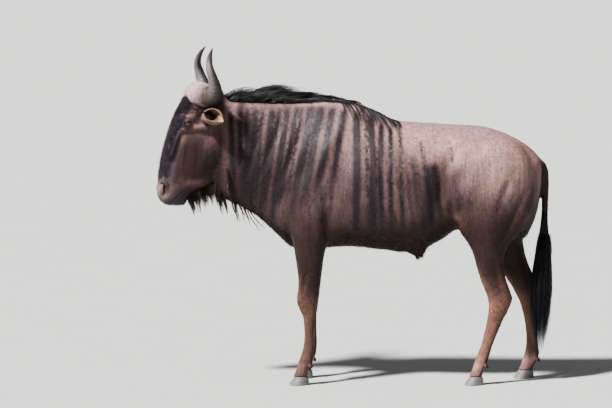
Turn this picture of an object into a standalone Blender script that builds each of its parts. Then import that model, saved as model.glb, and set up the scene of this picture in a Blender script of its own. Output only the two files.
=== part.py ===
"""A young blue wildebeest bull, life size, standing still with its head hung low.

Metres, +Z up, head towards -X, its left side towards -Y. The body is made from
lofts and muscle masses that are fused into one form, and is then parted into
named pieces with thin cuts. Mane, beard and tail are flat tapered locks.
"""
import math
import random

import bmesh
import bpy
from mathutils import Matrix, Vector
from mathutils.bvhtree import BVHTree

# Driving sizes. Heights are above the ground, and x runs from the muzzle back to the tail.
GAP = 0.00032
WELD = 0.000002
FOOT_APART = 0.115
HIP_APART = 0.102
ELBOW_HEIGHT = 0.8
FAR_FOOT_BACK = 0.018
HOOF_TOP = 0.038
HEAD_PIVOT = Vector((-0.575, 0.0, 1.0))
HEAD_TURN = math.radians(10)
HEAD_CUT_X = -0.535
EYE = Vector((-0.741, 0.0745, 1.176))
EYE_RADIUS = 0.0205
EAR_ROOT = Vector((-0.648, 0.088, 1.198))
EAR_LENGTH = 0.142
EAR_WALL = 0.0045

SKIN = (0.30, 0.22, 0.19)
DARK_HAIR = (0.02, 0.018, 0.022)
TAN_LEG = (0.34, 0.19, 0.12)
HORN = (0.33, 0.26, 0.25)
HOOF = (0.22, 0.21, 0.22)
EAR = (0.42, 0.28, 0.16)
EYE_COLOUR = (0.03, 0.015, 0.008)

# Trunk and neck: x, top, bottom, half width, height of the widest level as a share, peak, belly.
# Peak and belly are the roundness above and below it: 2 is an ellipse, more is squarer.
TRUNK = [
    (0.862, 1.010, 0.880, 0.045, 0.50, 2.0, 2.0),
    (0.840, 1.036, 0.760, 0.100, 0.55, 2.0, 2.0),
    (0.801, 1.072, 0.668, 0.145, 0.55, 2.0, 2.0),
    (0.743, 1.106, 0.622, 0.172, 0.55, 2.1, 2.0),
    (0.675, 1.137, 0.603, 0.188, 0.58, 2.1, 2.0),
    (0.585, 1.161, 0.606, 0.193, 0.60, 2.1, 2.0),
    (0.495, 1.166, 0.690, 0.184, 0.58, 2.1, 2.0),
    (0.450, 1.168, 0.672, 0.186, 0.55, 2.0, 2.0),
    (0.405, 1.171, 0.640, 0.195, 0.52, 2.0, 2.1),
    (0.306, 1.178, 0.598, 0.208, 0.48, 2.0, 2.2),
    (0.203, 1.186, 0.597, 0.213, 0.46, 1.9, 2.2),
    (0.149, 1.208, 0.600, 0.212, 0.45, 1.8, 2.2),
    (0.090, 1.240, 0.606, 0.206, 0.44, 1.7, 2.2),
    (0.000, 1.274, 0.613, 0.195, 0.42, 1.6, 2.2),
    (-0.090, 1.283, 0.609, 0.183, 0.40, 1.55, 2.1),
    (-0.180, 1.277, 0.600, 0.170, 0.38, 1.6, 2.0),
    (-0.261, 1.270, 0.612, 0.150, 0.38, 1.6, 1.9),
    (-0.338, 1.268, 0.676, 0.122, 0.42, 1.7, 1.8),
    (-0.414, 1.270, 0.743, 0.098, 0.45, 1.8, 1.8),
    (-0.486, 1.271, 0.790, 0.088, 0.50, 1.8, 1.9),
    (-0.549, 1.272, 0.818, 0.084, 0.52, 1.8, 2.0),
    (-0.608, 1.262, 0.856, 0.070, 0.52, 1.9, 2.0),
]

# Legs: height, front x, back x, half width.
FORE_LEG = [
    (0.834, -0.290, -0.070, 0.050),
    (0.699, -0.272, -0.090, 0.060),
    (0.609, -0.255, -0.108, 0.058),
    (0.542, -0.244, -0.122, 0.050),
    (0.474, -0.236, -0.129, 0.043),
    (0.420, -0.238, -0.137, 0.040),
    (0.384, -0.245, -0.142, 0.041),
    (0.348, -0.234, -0.146, 0.037),
    (0.312, -0.216, -0.153, 0.029),
    (0.249, -0.209, -0.158, 0.024),
    (0.186, -0.212, -0.155, 0.025),
    (0.141, -0.225, -0.157, 0.031),
    (0.105, -0.236, -0.167, 0.031),
    (0.069, -0.247, -0.184, 0.027),
    (0.038, -0.260, -0.187, 0.034),
    (0.016, -0.262, -0.190, 0.034),
]
HIND_LEG_LEFT = [
    (0.879, 0.486, 0.822, 0.070),
    (0.767, 0.473, 0.808, 0.075),
    (0.699, 0.491, 0.776, 0.073),
    (0.654, 0.511, 0.733, 0.067),
    (0.609, 0.540, 0.698, 0.059),
    (0.555, 0.556, 0.688, 0.052),
    (0.510, 0.567, 0.692, 0.045),
    (0.465, 0.581, 0.706, 0.040),
    (0.425, 0.596, 0.721, 0.036),
    (0.389, 0.612, 0.734, 0.036),
    (0.357, 0.617, 0.720, 0.036),
    (0.317, 0.612, 0.702, 0.033),
    (0.272, 0.603, 0.681, 0.027),
    (0.218, 0.592, 0.660, 0.024),
    (0.164, 0.577, 0.639, 0.025),
    (0.123, 0.560, 0.626, 0.031),
    (0.087, 0.549, 0.612, 0.030),
    (0.056, 0.538, 0.597, 0.027),
    (0.034, 0.525, 0.595, 0.034),
    (0.016, 0.523, 0.593, 0.034),
]
HIND_LEG_RIGHT = [
    (0.860, 0.495, 0.822, 0.070),
    (0.747, 0.500, 0.810, 0.075),
    (0.680, 0.531, 0.793, 0.073),
    (0.635, 0.567, 0.790, 0.066),
    (0.590, 0.608, 0.797, 0.058),
    (0.536, 0.652, 0.812, 0.050),
    (0.491, 0.684, 0.832, 0.044),
    (0.446, 0.715, 0.855, 0.040),
    (0.405, 0.740, 0.873, 0.036),
    (0.369, 0.761, 0.884, 0.036),
    (0.338, 0.774, 0.880, 0.036),
    (0.297, 0.785, 0.871, 0.032),
    (0.252, 0.794, 0.864, 0.027),
    (0.198, 0.799, 0.859, 0.024),
    (0.153, 0.801, 0.864, 0.026),
    (0.117, 0.794, 0.869, 0.031),
    (0.086, 0.787, 0.860, 0.030),
    (0.056, 0.776, 0.842, 0.027),
    (0.034, 0.760, 0.836, 0.034),
    (0.016, 0.758, 0.834, 0.034),
]

# Muscle and bone masses on both sides of the body: centre, radii, and lean in degrees.
SIDE_MASSES = {
    "shoulder_blade": ((-0.150, 0.093, 0.950), (0.095, 0.072, 0.220), 20),
    "shoulder_point": ((-0.268, 0.088, 0.775), (0.072, 0.060, 0.100), 0),
    "upper_arm": ((-0.150, 0.114, 0.760), (0.098, 0.064, 0.110), 0),
    "elbow": ((-0.118, 0.116, 0.672), (0.032, 0.033, 0.050), 0),
    "hip_bone": ((0.505, 0.102, 1.050), (0.085, 0.064, 0.075), 0),
    "rump": ((0.650, 0.110, 0.965), (0.165, 0.092, 0.150), 0),
    "thigh": ((0.660, 0.116, 0.790), (0.140, 0.078, 0.150), 0),
    "stifle": ((0.530, 0.117, 0.735), (0.060, 0.052, 0.095), -15),
    "pin_bone": ((0.815, 0.055, 0.985), (0.040, 0.040, 0.045), 0),
}
MIDDLE_MASSES = {
    "sheath": ((0.268, 0.0, 0.600), (0.085, 0.034, 0.034), 6),
    "brisket": ((-0.225, 0.0, 0.660), (0.100, 0.075, 0.060), 20),
}
# Knee cap, then point of the hock: x, height and radii.
JOINT_BONES = {
    "left": ((-0.222, 0.385, (0.024, 0.036, 0.036)), (0.712, 0.394, (0.024, 0.017, 0.026))),
    "right": ((-0.212, 0.385, (0.024, 0.036, 0.036)), (0.864, 0.374, (0.024, 0.017, 0.026))),
}

# Head, before it is turned: height, front x, back x, half widths at the front, middle and back.
HEAD = [
    (1.332, -0.700, -0.610, 0.045, 0.052, 0.045),
    (1.319, -0.722, -0.585, 0.055, 0.062, 0.055),
    (1.288, -0.748, -0.555, 0.066, 0.076, 0.062),
    (1.252, -0.768, -0.535, 0.070, 0.086, 0.066),
    (1.216, -0.789, -0.530, 0.070, 0.091, 0.066),
    (1.184, -0.805, -0.530, 0.064, 0.091, 0.068),
    (1.148, -0.819, -0.533, 0.056, 0.086, 0.070),
    (1.103, -0.833, -0.538, 0.050, 0.082, 0.072),
    (1.058, -0.846, -0.540, 0.046, 0.078, 0.070),
    (1.013, -0.856, -0.545, 0.045, 0.073, 0.066),
    (0.968, -0.864, -0.562, 0.046, 0.067, 0.058),
    (0.932, -0.868, -0.578, 0.049, 0.062, 0.052),
    (0.896, -0.871, -0.622, 0.055, 0.061, 0.048),
    (0.869, -0.873, -0.690, 0.060, 0.064, 0.050),
    (0.842, -0.870, -0.730, 0.058, 0.063, 0.050),
    (0.822, -0.855, -0.738, 0.048, 0.056, 0.044),
    (0.805, -0.832, -0.752, 0.028, 0.036, 0.030),
]

# Horn, before the head is turned: x, distance from the middle, height, radius.
HORN_PATH = [
    (-0.680, 0.000, 1.298, 0.055),
    (-0.676, 0.045, 1.300, 0.054),
    (-0.655, 0.100, 1.296, 0.046),
    (-0.636, 0.148, 1.304, 0.037),
    (-0.634, 0.183, 1.338, 0.029),
    (-0.648, 0.197, 1.388, 0.0215),
    (-0.659, 0.187, 1.432, 0.0165),
    (-0.652, 0.152, 1.476, 0.0105),
    (-0.633, 0.108, 1.511, 0.0022),
]


def clear_scene():
    for obj in list(bpy.data.objects):
        bpy.data.objects.remove(obj)


def collection(name):
    made = bpy.data.collections.new(name)
    bpy.context.scene.collection.children.link(made)
    return made


def link(name, mesh, where):
    obj = bpy.data.objects.new(name, mesh)
    where.objects.link(obj)
    return obj


def object_from(name, form, where):
    """A mesh object from a bmesh, with its normals pointing out."""
    bmesh.ops.recalc_face_normals(form, faces=form.faces)
    mesh = bpy.data.meshes.new(name)
    form.to_mesh(mesh)
    form.free()
    return link(name, mesh, where)


def settle(obj):
    """Turns an object's modifiers into its own mesh, as triangles."""
    bpy.context.view_layer.update()
    seen = obj.evaluated_get(bpy.context.evaluated_depsgraph_get())
    mesh = bpy.data.meshes.new_from_object(seen)
    obj.modifiers.clear()
    obj.data = mesh
    form = bmesh.new()
    form.from_mesh(mesh)
    bmesh.ops.remove_doubles(form, verts=form.verts, dist=WELD)
    bmesh.ops.dissolve_degenerate(form, edges=form.edges, dist=WELD)
    bmesh.ops.triangulate(form, faces=form.faces)
    form.to_mesh(mesh)
    form.free()
    return obj


def curve_value(a, b, c, d, t):
    """A smooth curve through b and c, read at t between them."""
    return 0.5 * (
        2 * b
        + (c - a) * t
        + (2 * a - 5 * b + 4 * c - d) * t * t
        + (3 * b - a - 3 * c + d) * t * t * t
    )


def smooth_rows(rows, steps):
    """The rows, with steps - 1 more between each two, on a smooth curve through them."""
    made = []
    last = len(rows) - 1
    for i in range(last):
        around = [rows[min(max(k, 0), last)] for k in (i - 1, i, i + 1, i + 2)]
        for step in range(steps):
            made.append([curve_value(*four, step / steps) for four in zip(*around)])
    made.append(list(rows[last]))
    return made


def power(value, exponent):
    return math.copysign(abs(value) ** exponent, value)


def add_loft(form, rings):
    """Joins rings of points into a closed tube with a point in the middle of each end."""
    layers = [[form.verts.new(point) for point in ring] for ring in rings]
    count = len(layers[0])
    for low, high in zip(layers, layers[1:]):
        for i in range(count):
            j = (i + 1) % count
            form.faces.new((low[i], low[j], high[j], high[i]))
    for layer in (layers[0], layers[-1]):
        middle = form.verts.new(sum((v.co for v in layer), Vector()) / count)
        for i in range(count):
            form.faces.new((layer[i], layer[(i + 1) % count], middle))


def add_mass(form, centre, radii, lean=0.0, segments=20):
    """A muscle or bone mass: a ball with three radii, leaning in the side view."""
    place = Matrix.Translation(centre) @ Matrix.Rotation(lean, 4, "Y") @ Matrix.Diagonal((*radii, 1))
    bmesh.ops.create_uvsphere(form, u_segments=segments, v_segments=segments * 2 // 3, radius=1, matrix=place)


def add_bar(form, start, end, start_radius, end_radius):
    """A ridge: balls in a row from start to end."""
    start = Vector(start)
    end = Vector(end)
    count = 2 + int((end - start).length / 0.008)
    for i in range(count):
        share = i / (count - 1)
        radius = start_radius + (end_radius - start_radius) * share
        add_mass(form, start.lerp(end, share), (radius, radius, radius))


def trunk_ring(x, top, bottom, half_width, level, peak, belly):
    wide = bottom + (top - bottom) * level
    ring = []
    for i in range(32):
        angle = 2 * math.pi * i / 32
        upper = math.sin(angle) >= 0
        round_by = 2 / (peak if upper else belly)
        reach = top - wide if upper else wide - bottom
        side = half_width * power(math.cos(angle), round_by)
        ring.append(Vector((x, side, wide + reach * power(math.sin(angle), round_by))))
    return ring


def leg_ring(height, front, back, half_width, y):
    middle = (front + back) / 2
    reach = (back - front) / 2
    ring = []
    for i in range(20):
        angle = 2 * math.pi * i / 20
        side = power(math.sin(angle), 0.9) * half_width
        ring.append(Vector((middle + reach * power(math.cos(angle), 0.9), y + side, height)))
    return ring


def head_ring(height, front, back, front_width, middle_width, back_width):
    ring = []
    for i in range(32):
        angle = 2 * math.pi * i / 32
        share = (1 - math.cos(angle)) / 2
        if share < 0.5:
            ease = 3 * (2 * share) ** 2 - 2 * (2 * share) ** 3
            width = front_width + (middle_width - front_width) * ease
        else:
            ease = 3 * (2 * share - 1) ** 2 - 2 * (2 * share - 1) ** 3
            width = middle_width + (back_width - middle_width) * ease
        side = power(math.sin(angle), 0.62) * width
        ring.append(Vector((front + (back - front) * share, side, height)))
    return ring


def leg_rows(side_name, limb):
    """A leg's rows, each with its distance from the middle. The right fore foot stands further back."""
    if limb == "hind":
        rows = HIND_LEG_LEFT if side_name == "left" else HIND_LEG_RIGHT
    else:
        rows = FORE_LEG
    step_back = FAR_FOOT_BACK if (limb, side_name) == ("fore", "right") else 0.0
    sign = -1 if side_name == "left" else 1
    made = []
    for height, front, back, half_width in rows:
        share = max(0.0, 1 - height / ELBOW_HEIGHT)
        y = sign * (HIP_APART + (FOOT_APART - HIP_APART) * min(1, share * 2))
        made.append((height, front + step_back * share, back + step_back * share, half_width, y))
    return made


def form_from(name, form, voxel, smoothing, triangles, where):
    """Fuses overlapping masses into one smooth skin of about that many triangles."""
    obj = object_from(name, form, where)
    fuse = obj.modifiers.new("fuse", "REMESH")
    fuse.mode = "VOXEL"
    fuse.voxel_size = voxel
    soften = obj.modifiers.new("soften", "SMOOTH")
    soften.factor = 0.5
    soften.iterations = smoothing
    settle(obj)
    thin = obj.modifiers.new("thin", "DECIMATE")
    thin.ratio = triangles / len(obj.data.polygons)
    settle(obj)
    relax = obj.modifiers.new("relax", "SMOOTH")
    relax.factor = 0.35
    relax.iterations = 1
    return settle(obj)


def body_form(where):
    form = bmesh.new()
    add_loft(form, [trunk_ring(*row) for row in smooth_rows(TRUNK, 3)])
    for side in ("left", "right"):
        for limb in ("fore", "hind"):
            add_loft(form, [leg_ring(*row) for row in smooth_rows(leg_rows(side, limb), 2)])
    for s in (-1, 1):
        for (x, y, z), radii, lean in SIDE_MASSES.values():
            add_mass(form, (x, s * y, z), radii, math.radians(lean))
    for centre, radii, lean in MIDDLE_MASSES.values():
        add_mass(form, centre, radii, math.radians(lean))
    for side, s in (("left", -1), ("right", 1)):
        for joint_x, joint_z, radii in JOINT_BONES[side]:
            add_mass(form, (joint_x, s * FOOT_APART, joint_z), radii)
    return form_from("body_form", form, 0.0085, 9, 3800, where)


def turned(point):
    """A point of the head, carried by the head's turn towards the left."""
    return Matrix.Rotation(HEAD_TURN, 3, "Z") @ (Vector(point) - HEAD_PIVOT) + HEAD_PIVOT


def turn_head(obj):
    obj.data.transform(
        Matrix.Translation(HEAD_PIVOT) @ Matrix.Rotation(HEAD_TURN, 4, "Z") @ Matrix.Translation(-HEAD_PIVOT)
    )
    return obj


def head_form(where):
    form = bmesh.new()
    add_loft(form, [head_ring(*row) for row in smooth_rows(HEAD, 3)])
    for s in (-1, 1):
        # Brow over the eye, the pad of the lids, and the cheek bone below it.
        add_bar(form, (-0.765, s * 0.062, 1.204), (-0.715, s * 0.084, 1.210), 0.019, 0.020)
        add_mass(form, (EYE.x, s * EYE.y, EYE.z), (0.026, 0.026, 0.024))
        add_bar(form, (-0.762, s * 0.066, 1.148), (-0.660, s * 0.088, 1.158), 0.014, 0.016)
        add_bar(form, (-0.778, s * 0.056, 1.128), (-0.812, s * 0.046, 1.030), 0.012, 0.010)
        # Chewing muscle of the cheek.
        add_mass(form, (-0.620, s * 0.050, 1.075), (0.078, 0.040, 0.100), math.radians(12))
        # Nostril wing, upper lip and lower lip.
        add_mass(form, (-0.848, s * 0.038, 0.888), (0.024, 0.026, 0.038), math.radians(8))
        add_mass(form, (-0.826, s * 0.034, 0.838), (0.034, 0.030, 0.026))
        # Base of the ear.
        add_mass(form, (-0.640, s * 0.078, 1.205), (0.030, 0.026, 0.028))
    add_mass(form, (-0.772, 0, 0.826), (0.040, 0.046, 0.024))
    head = object_from("head_masses", form, where)
    turn_head(head)
    form = bmesh.new()
    form.from_mesh(head.data)
    bpy.data.objects.remove(head)
    stub = [row for row in smooth_rows(TRUNK, 3) if row[0] < -0.44]
    add_loft(form, [trunk_ring(*row) for row in stub])
    return form_from("head_form", form, 0.0045, 6, 1400, where)


def is_closed(mesh):
    form = bmesh.new()
    form.from_mesh(mesh)
    closed = all(edge.is_manifold for edge in form.edges)
    form.free()
    return closed


def cut(obj, cutter, operation="DIFFERENCE"):
    """Cuts or joins with another object, which is then removed."""
    before = obj.data
    for solver in ("EXACT", "MANIFOLD"):
        obj.data = before.copy()
        step = obj.modifiers.new("cut", "BOOLEAN")
        step.operation = operation
        step.solver = solver
        step.object = cutter
        settle(obj)
        if is_closed(obj.data):
            break
    bpy.data.objects.remove(cutter)
    return obj


def copy_of(obj, name, where):
    return link(name, obj.data.copy(), where)


def grown(obj, by, where):
    """A copy that stands proud by that much all over, for cutting a neighbour clear of it."""
    form = bmesh.new()
    form.from_mesh(obj.data)
    form.normal_update()
    steps = [v.normal * by * min(v.calc_shell_factor(), 2.5) for v in form.verts]
    for vertex, step in zip(form.verts, steps):
        vertex.co += step
    return object_from(obj.name + "_grown", form, where)


def largest_only(obj):
    """Keeps the largest closed surface."""
    form = bmesh.new()
    form.from_mesh(obj.data)
    left = set(form.verts)
    bodies = []
    while left:
        seed = left.pop()
        body = {seed}
        todo = [seed]
        while todo:
            for edge in todo.pop().link_edges:
                for vertex in edge.verts:
                    if vertex in left:
                        left.discard(vertex)
                        body.add(vertex)
                        todo.append(vertex)
        bodies.append(body)
    bodies.sort(key=size_of, reverse=True)
    for body in bodies[1:]:
        bmesh.ops.delete(form, geom=list(body), context="VERTS")
    form.to_mesh(obj.data)
    form.free()
    return obj


def size_of(body):
    """The diagonal of the box round these vertices."""
    low = [min(v.co[k] for v in body) for k in range(3)]
    high = [max(v.co[k] for v in body) for k in range(3)]
    return math.dist(low, high)


def box_cut_by(name, planes, where):
    """A large block with everything on the outer side of each plane (point, outward normal) taken off."""
    form = bmesh.new()
    bmesh.ops.create_cube(form, size=4)
    for point, normal in planes:
        parts = form.verts[:] + form.edges[:] + form.faces[:]
        split = bmesh.ops.bisect_plane(
            form, geom=parts, plane_co=point, plane_no=normal, clear_outer=True
        )
        rim = [item for item in split["geom_cut"] if isinstance(item, bmesh.types.BMEdge)]
        bmesh.ops.contextual_create(form, geom=rim)
    return object_from(name, form, where)


def moved_in(planes, by):
    return [(Vector(point) - Vector(normal).normalized() * by, normal) for point, normal in planes]


def piece(body, name, planes, where, work):
    """The part of the body inside these planes, drawn in by half of the gap."""
    made = copy_of(body, name, where)
    return largest_only(cut(made, box_cut_by("keep", moved_in(planes, GAP / 2), work), "INTERSECT"))


def opposite(plane):
    point, normal = plane
    return (point, -Vector(normal))


def leg_planes(s):
    """Planes that part the fore and hind leg on one side from the trunk."""
    fore = [
        ((0, s * 0.020, 0.585), (0, -s * 0.93, 0.37)),
        ((-0.317, 0, 0.700), (-0.967, 0, 0.256)),
        ((-0.088, 0, 0.609), (0.995, 0, -0.100)),
    ]
    hind = [
        ((0, s * 0.002, 0.590), (0, -s * 0.91, 0.41)),
        ((0.478, 0, 0.705), (-0.97, 0, 0.22)),
    ]
    own_side = ((0, 0, 0), (0, -s, 0))
    return {"fore": fore + [own_side], "hind": hind + [own_side]}


NECK_PLANE = ((-0.287, 0, 1.000), (-0.93, 0, 0.36))
HEAD_PLANE = ((HEAD_CUT_X, 0, 1.0), (-1, 0, 0))
JOINT_PLANES = {
    "fore": {"left": ((-0.19, 0, 0.345), (0, 0, 1)), "right": ((-0.18, 0, 0.345), (0, 0, 1))},
    "hind": {"left": ((0.66, 0, 0.335), (0.30, 0, 0.95)), "right": ((0.83, 0, 0.318), (0.05, 0, 1))},
}


def part_the_body(body, where, work):
    """Neck, trunk and eight leg pieces, each parted from the next by a thin cut."""
    made = {}
    hoof_plane = ((0, 0, HOOF_TOP + GAP), (0, 0, -1))
    torso = piece(body, "torso", [NECK_PLANE], where, work)
    made["neck"] = piece(body, "neck", [opposite(NECK_PLANE), HEAD_PLANE], where, work)
    for side, s in (("left", -1), ("right", 1)):
        for limb, planes in leg_planes(s).items():
            cutter = box_cut_by("leg_space", moved_in(planes, -GAP / 2), work)
            cut(torso, cutter)
            joint = JOINT_PLANES[limb][side]
            name = f"{limb}_leg_{side}"
            upper = planes + [opposite(joint)]
            made[name + "_upper"] = piece(body, name + "_upper", upper, where, work)
            lower = planes + [joint, hoof_plane]
            made[name + "_lower"] = piece(body, name + "_lower", lower, where, work)
    made["torso"] = largest_only(torso)
    return made


def claw_ring(toe, heel, width, lean, height, s):
    """One level of a claw: straight on the inside, bowed on the outside, pointed at the toe."""
    ring = []
    inner = 0.0028
    for i in range(3):
        share = i / 2
        ring.append(Vector((heel + (toe - heel) * share, s * inner, height)))
    for i in range(1, 7):
        share = i / 7
        bow = math.sin(math.pi * share ** 0.72) ** 0.75
        ring.append(Vector((toe + (heel - toe) * share, s * (inner + width * bow + lean * bow), height)))
    return ring


def hoof(name, toe, heel, y, where, work):
    """Two claws side by side, joined by the bulb of skin at their heels."""
    claws = []
    for s in (-1, 1):
        form = bmesh.new()
        levels = (
            (toe, heel, 0.038, 0.0),
            (toe + 0.004, heel + 0.001, 0.037, 0.010),
            (toe + 0.016, heel - 0.001, 0.034, 0.026),
            (toe + 0.026, heel - 0.004, 0.030, HOOF_TOP),
        )
        add_loft(form, [claw_ring(a, b, width, 0.0, height, s) for a, b, width, height in levels])
        claws.append(object_from(f"{name}_claw", form, work))
        claws[-1].data.transform(Matrix.Translation((0, y, 0)))
    form = bmesh.new()
    middle = toe + (heel - toe) * 0.66
    add_mass(form, (middle, y, 0.027), (0.022, 0.012, 0.010), segments=8)
    bulb = object_from("bulb", form, work)
    made = link(name, claws[0].data.copy(), where)
    bpy.data.objects.remove(claws[0])
    cut(made, claws[1], "UNION")
    cut(made, bulb, "UNION")
    return largest_only(made)


def add_dew_claws(leg, height, y, work):
    """The two small claws behind the fetlock, fused to the leg."""
    tree = BVHTree.FromObject(leg, bpy.context.evaluated_depsgraph_get())
    for s in (-1, 1):
        skin = tree.ray_cast(Vector((2, y + s * 0.012, height)), Vector((-1, 0, 0)))[0]
        start = skin + Vector((-0.014, 0, 0.014))
        end = skin + Vector((0.010, s * 0.005, -0.014))
        way = (end - start).normalized()
        turn = way.to_track_quat("Z", "Y").to_matrix().to_4x4()
        form = bmesh.new()
        bmesh.ops.create_cone(
            form, cap_ends=True, segments=7, radius1=0.0125, radius2=0.006,
            depth=(end - start).length, matrix=Matrix.Translation((start + end) / 2) @ turn,
        )
        cut(leg, object_from("dew_claw", form, work), "UNION")
    return largest_only(leg)


def ball(name, centre, radii, where, segments=24, rings=16, lean=0.0):
    form = bmesh.new()
    place = Matrix.Translation(centre) @ Matrix.Rotation(lean, 4, "Y") @ Matrix.Diagonal((*radii, 1))
    bmesh.ops.create_uvsphere(form, u_segments=segments, v_segments=rings, radius=1, matrix=place)
    return object_from(name, form, where)


def shape_face(head, eyes, work):
    """Opens the lids, nostrils and mouth line, and clears a socket round each eye."""
    for s, eye in zip((-1, 1), eyes):
        opening = ball("lid_opening", (EYE.x - 0.002, s * (EYE.y + 0.019), EYE.z), (0.0185, 0.014, 0.0105),
                       work, 12, 8, math.radians(-12))
        cut(head, turn_head(opening))
        cut(head, grown(eye, GAP * 1.15, work))
        upper = ball("nostril", (-0.862, s * 0.052, 0.903), (0.015, 0.012, 0.0065), work, 8, 6, math.radians(30))
        cut(head, turn_head(upper))
        slit = ball("nostril", (-0.846, s * 0.062, 0.885), (0.0055, 0.012, 0.020), work, 8, 6, math.radians(8))
        cut(head, turn_head(slit))
    tree = BVHTree.FromObject(head, bpy.context.evaluated_depsgraph_get())
    line = [(-0.842, 0.0, 0.800), (-0.836, 0.022, 0.805), (-0.822, 0.042, 0.815),
            (-0.800, 0.056, 0.832), (-0.778, 0.062, 0.852), (-0.760, 0.064, 0.872)]
    for s in (-1, 1):
        near = [tree.find_nearest(turned((x, s * y, z))) for x, y, z in line]
        rings = []
        for i, (place, normal, _, _) in enumerate(near):
            ahead = near[min(i + 1, len(near) - 1)][0] - near[max(i - 1, 0)][0]
            across = ahead.cross(normal).normalized()
            deep = 0.005 if i < len(near) - 1 else 0.002
            rings.append([
                place + across * 0.0022 + normal * 0.003,
                place - across * 0.0022 + normal * 0.003,
                place - across * 0.0012 - normal * deep,
                place + across * 0.0012 - normal * deep,
            ])
        form = bmesh.new()
        add_loft(form, rings)
        cut(head, object_from("mouth_line", form, work))
    return largest_only(head)


def horn_rings(s):
    """Rings along one horn. The boss is long from front to back, and the tip is round."""
    rows = smooth_rows([(x, s * y, z, r) for x, y, z, r in HORN_PATH], 2)
    rings = []
    for i, (x, y, z, radius) in enumerate(rows):
        before = Vector(rows[max(i - 1, 0)][:3])
        after = Vector(rows[min(i + 1, len(rows) - 1)][:3])
        way = (after - before).normalized()
        side = way.cross(Vector((1, 0, 0))).normalized()
        front = side.cross(way).normalized()
        share = i / (len(rows) - 1)
        ridge = 1 + 0.018 * math.sin(i * 2.4) * (share < 0.7)
        longer = 1.16 - 0.16 * min(1, share / 0.4)
        ring = []
        for k in range(10):
            angle = 2 * math.pi * k / 10
            reach = radius * ridge
            ring.append(Vector((x, y, z)) + (front * math.cos(angle) * longer + side * math.sin(angle)) * reach)
        rings.append(ring)
    return rings


def horn(name, s, head, where, work):
    form = bmesh.new()
    add_loft(form, horn_rings(s))
    made = object_from(name, form, where)
    middle = box_cut_by("other_side", [((0, s * GAP / 2, 0), (0, s, 0))], work)
    cut(made, middle)
    turn_head(made)
    cut(made, grown(head, GAP, work))
    return largest_only(made)


def ear(name, s, head, where, work):
    """A leaf-shaped cup, rolled at its root, that stands out and back from the head."""
    root = Vector((EAR_ROOT.x, s * EAR_ROOT.y, EAR_ROOT.z))
    way = Vector((0.53, s * 0.85, 0.02)).normalized()
    facing = Vector((-0.78, s * 0.58, -0.18))
    facing = (facing - way * facing.dot(way)).normalized()
    across = way.cross(facing).normalized()
    half_widths = (0.017, 0.027, 0.034, 0.036, 0.033, 0.024, 0.009)
    rolls = (2.5, 2.3, 2.0, 1.7, 1.5, 1.35, 1.1)
    form = bmesh.new()
    grid = []
    for i, (half_width, roll) in enumerate(zip(half_widths, rolls)):
        share = i / (len(half_widths) - 1)
        spine = root + way * EAR_LENGTH * (share - 0.12) - facing * (0.020 * math.sin(share * 2.2))
        radius = half_width / min(1.0, math.sin(min(roll, math.pi / 2)))
        row = []
        for k in range(7):
            angle = roll * (k / 3 - 1)
            row.append(form.verts.new(
                spine + across * math.sin(angle) * radius + facing * (1 - math.cos(angle)) * radius
            ))
        grid.append(row)
    for low, high in zip(grid, grid[1:]):
        for k in range(6):
            form.faces.new((low[k], low[k + 1], high[k + 1], high[k]))
    made = object_from(name, form, where)
    wall = made.modifiers.new("wall", "SOLIDIFY")
    wall.thickness = EAR_WALL
    wall.offset = 0
    settle(made)
    form = bmesh.new()
    stalk = root - way * EAR_LENGTH * 0.02
    add_mass(form, stalk, (0.016, 0.018, 0.019), segments=9)
    cut(made, object_from("ear_root", form, work), "UNION")
    turn_head(made)
    cut(made, grown(head, GAP, work))
    cut(made, copy_of(head, "head_copy", work))
    return largest_only(made)


def crest(x):
    """The height of the back's middle line at x."""
    rows = smooth_rows(TRUNK, 3)
    for behind, ahead in zip(rows, rows[1:]):
        if ahead[0] <= x <= behind[0]:
            share = (x - behind[0]) / (ahead[0] - behind[0])
            return behind[1] + (ahead[1] - behind[1]) * share
    return rows[-1][1]


def mane_rise(share):
    """How high the mane stands above the crest: tallest on the neck, low over the withers."""
    if share < 0.5:
        return 0.052 + 0.028 * math.sin(math.pi * share / 0.5)
    return 0.052 - 0.070 * (share - 0.5)


def crest_core(start, end, half_width, height, where):
    """The dense roots of the mane: a low ridge along the crest."""
    form = bmesh.new()
    count = 2 + int(abs(end - start) / 0.03)
    rings = []
    for i in range(count):
        share = i / (count - 1)
        x = start + (end - start) * share
        ends = max(0.25, math.sin(math.pi * min(max(share, 0.02), 0.98)) ** 0.4)
        middle = Vector((x, 0, crest(x) - 0.004))
        rings.append([
            middle + Vector((0, math.cos(a) * half_width * ends, math.sin(a) * height * ends))
            for a in [2 * math.pi * k / 8 for k in range(8)]
        ])
    add_loft(form, rings)
    return object_from("core", form, where)


def lock_object(points, across, width, thickness, where):
    """A flat tapered lock of hair along these points, with a low ridge along its outer face."""
    form = bmesh.new()
    layers = []
    last = len(points) - 1
    for i, point in enumerate(points[:-1]):
        way = (points[i + 1] - points[max(i - 1, 0)]).normalized()
        flat = (across - way * across.dot(way)).normalized()
        up = flat.cross(way).normalized()
        share = i / last
        taper = (0.75 + 0.25 * math.sin(math.pi * min(1, share * 1.6))) * (1 - share ** 2.4) + 0.05
        edge = flat * width * taper / 2
        ridge = up * thickness * max(0.35, 1 - share * 0.7) / 2
        ring = (point + edge - ridge * 0.6, point + ridge, point - edge - ridge * 0.6)
        layers.append([form.verts.new(p) for p in ring])
    tip = form.verts.new(points[-1])
    for low, high in zip(layers, layers[1:]):
        for k in range(3):
            form.faces.new((low[k], low[(k + 1) % 3], high[(k + 1) % 3], high[k]))
    form.faces.new(layers[0])
    for k in range(3):
        form.faces.new((layers[-1][k], layers[-1][(k + 1) % 3], tip))
    bmesh.ops.triangulate(form, faces=form.faces)
    return object_from("lock", form, where)


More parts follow.
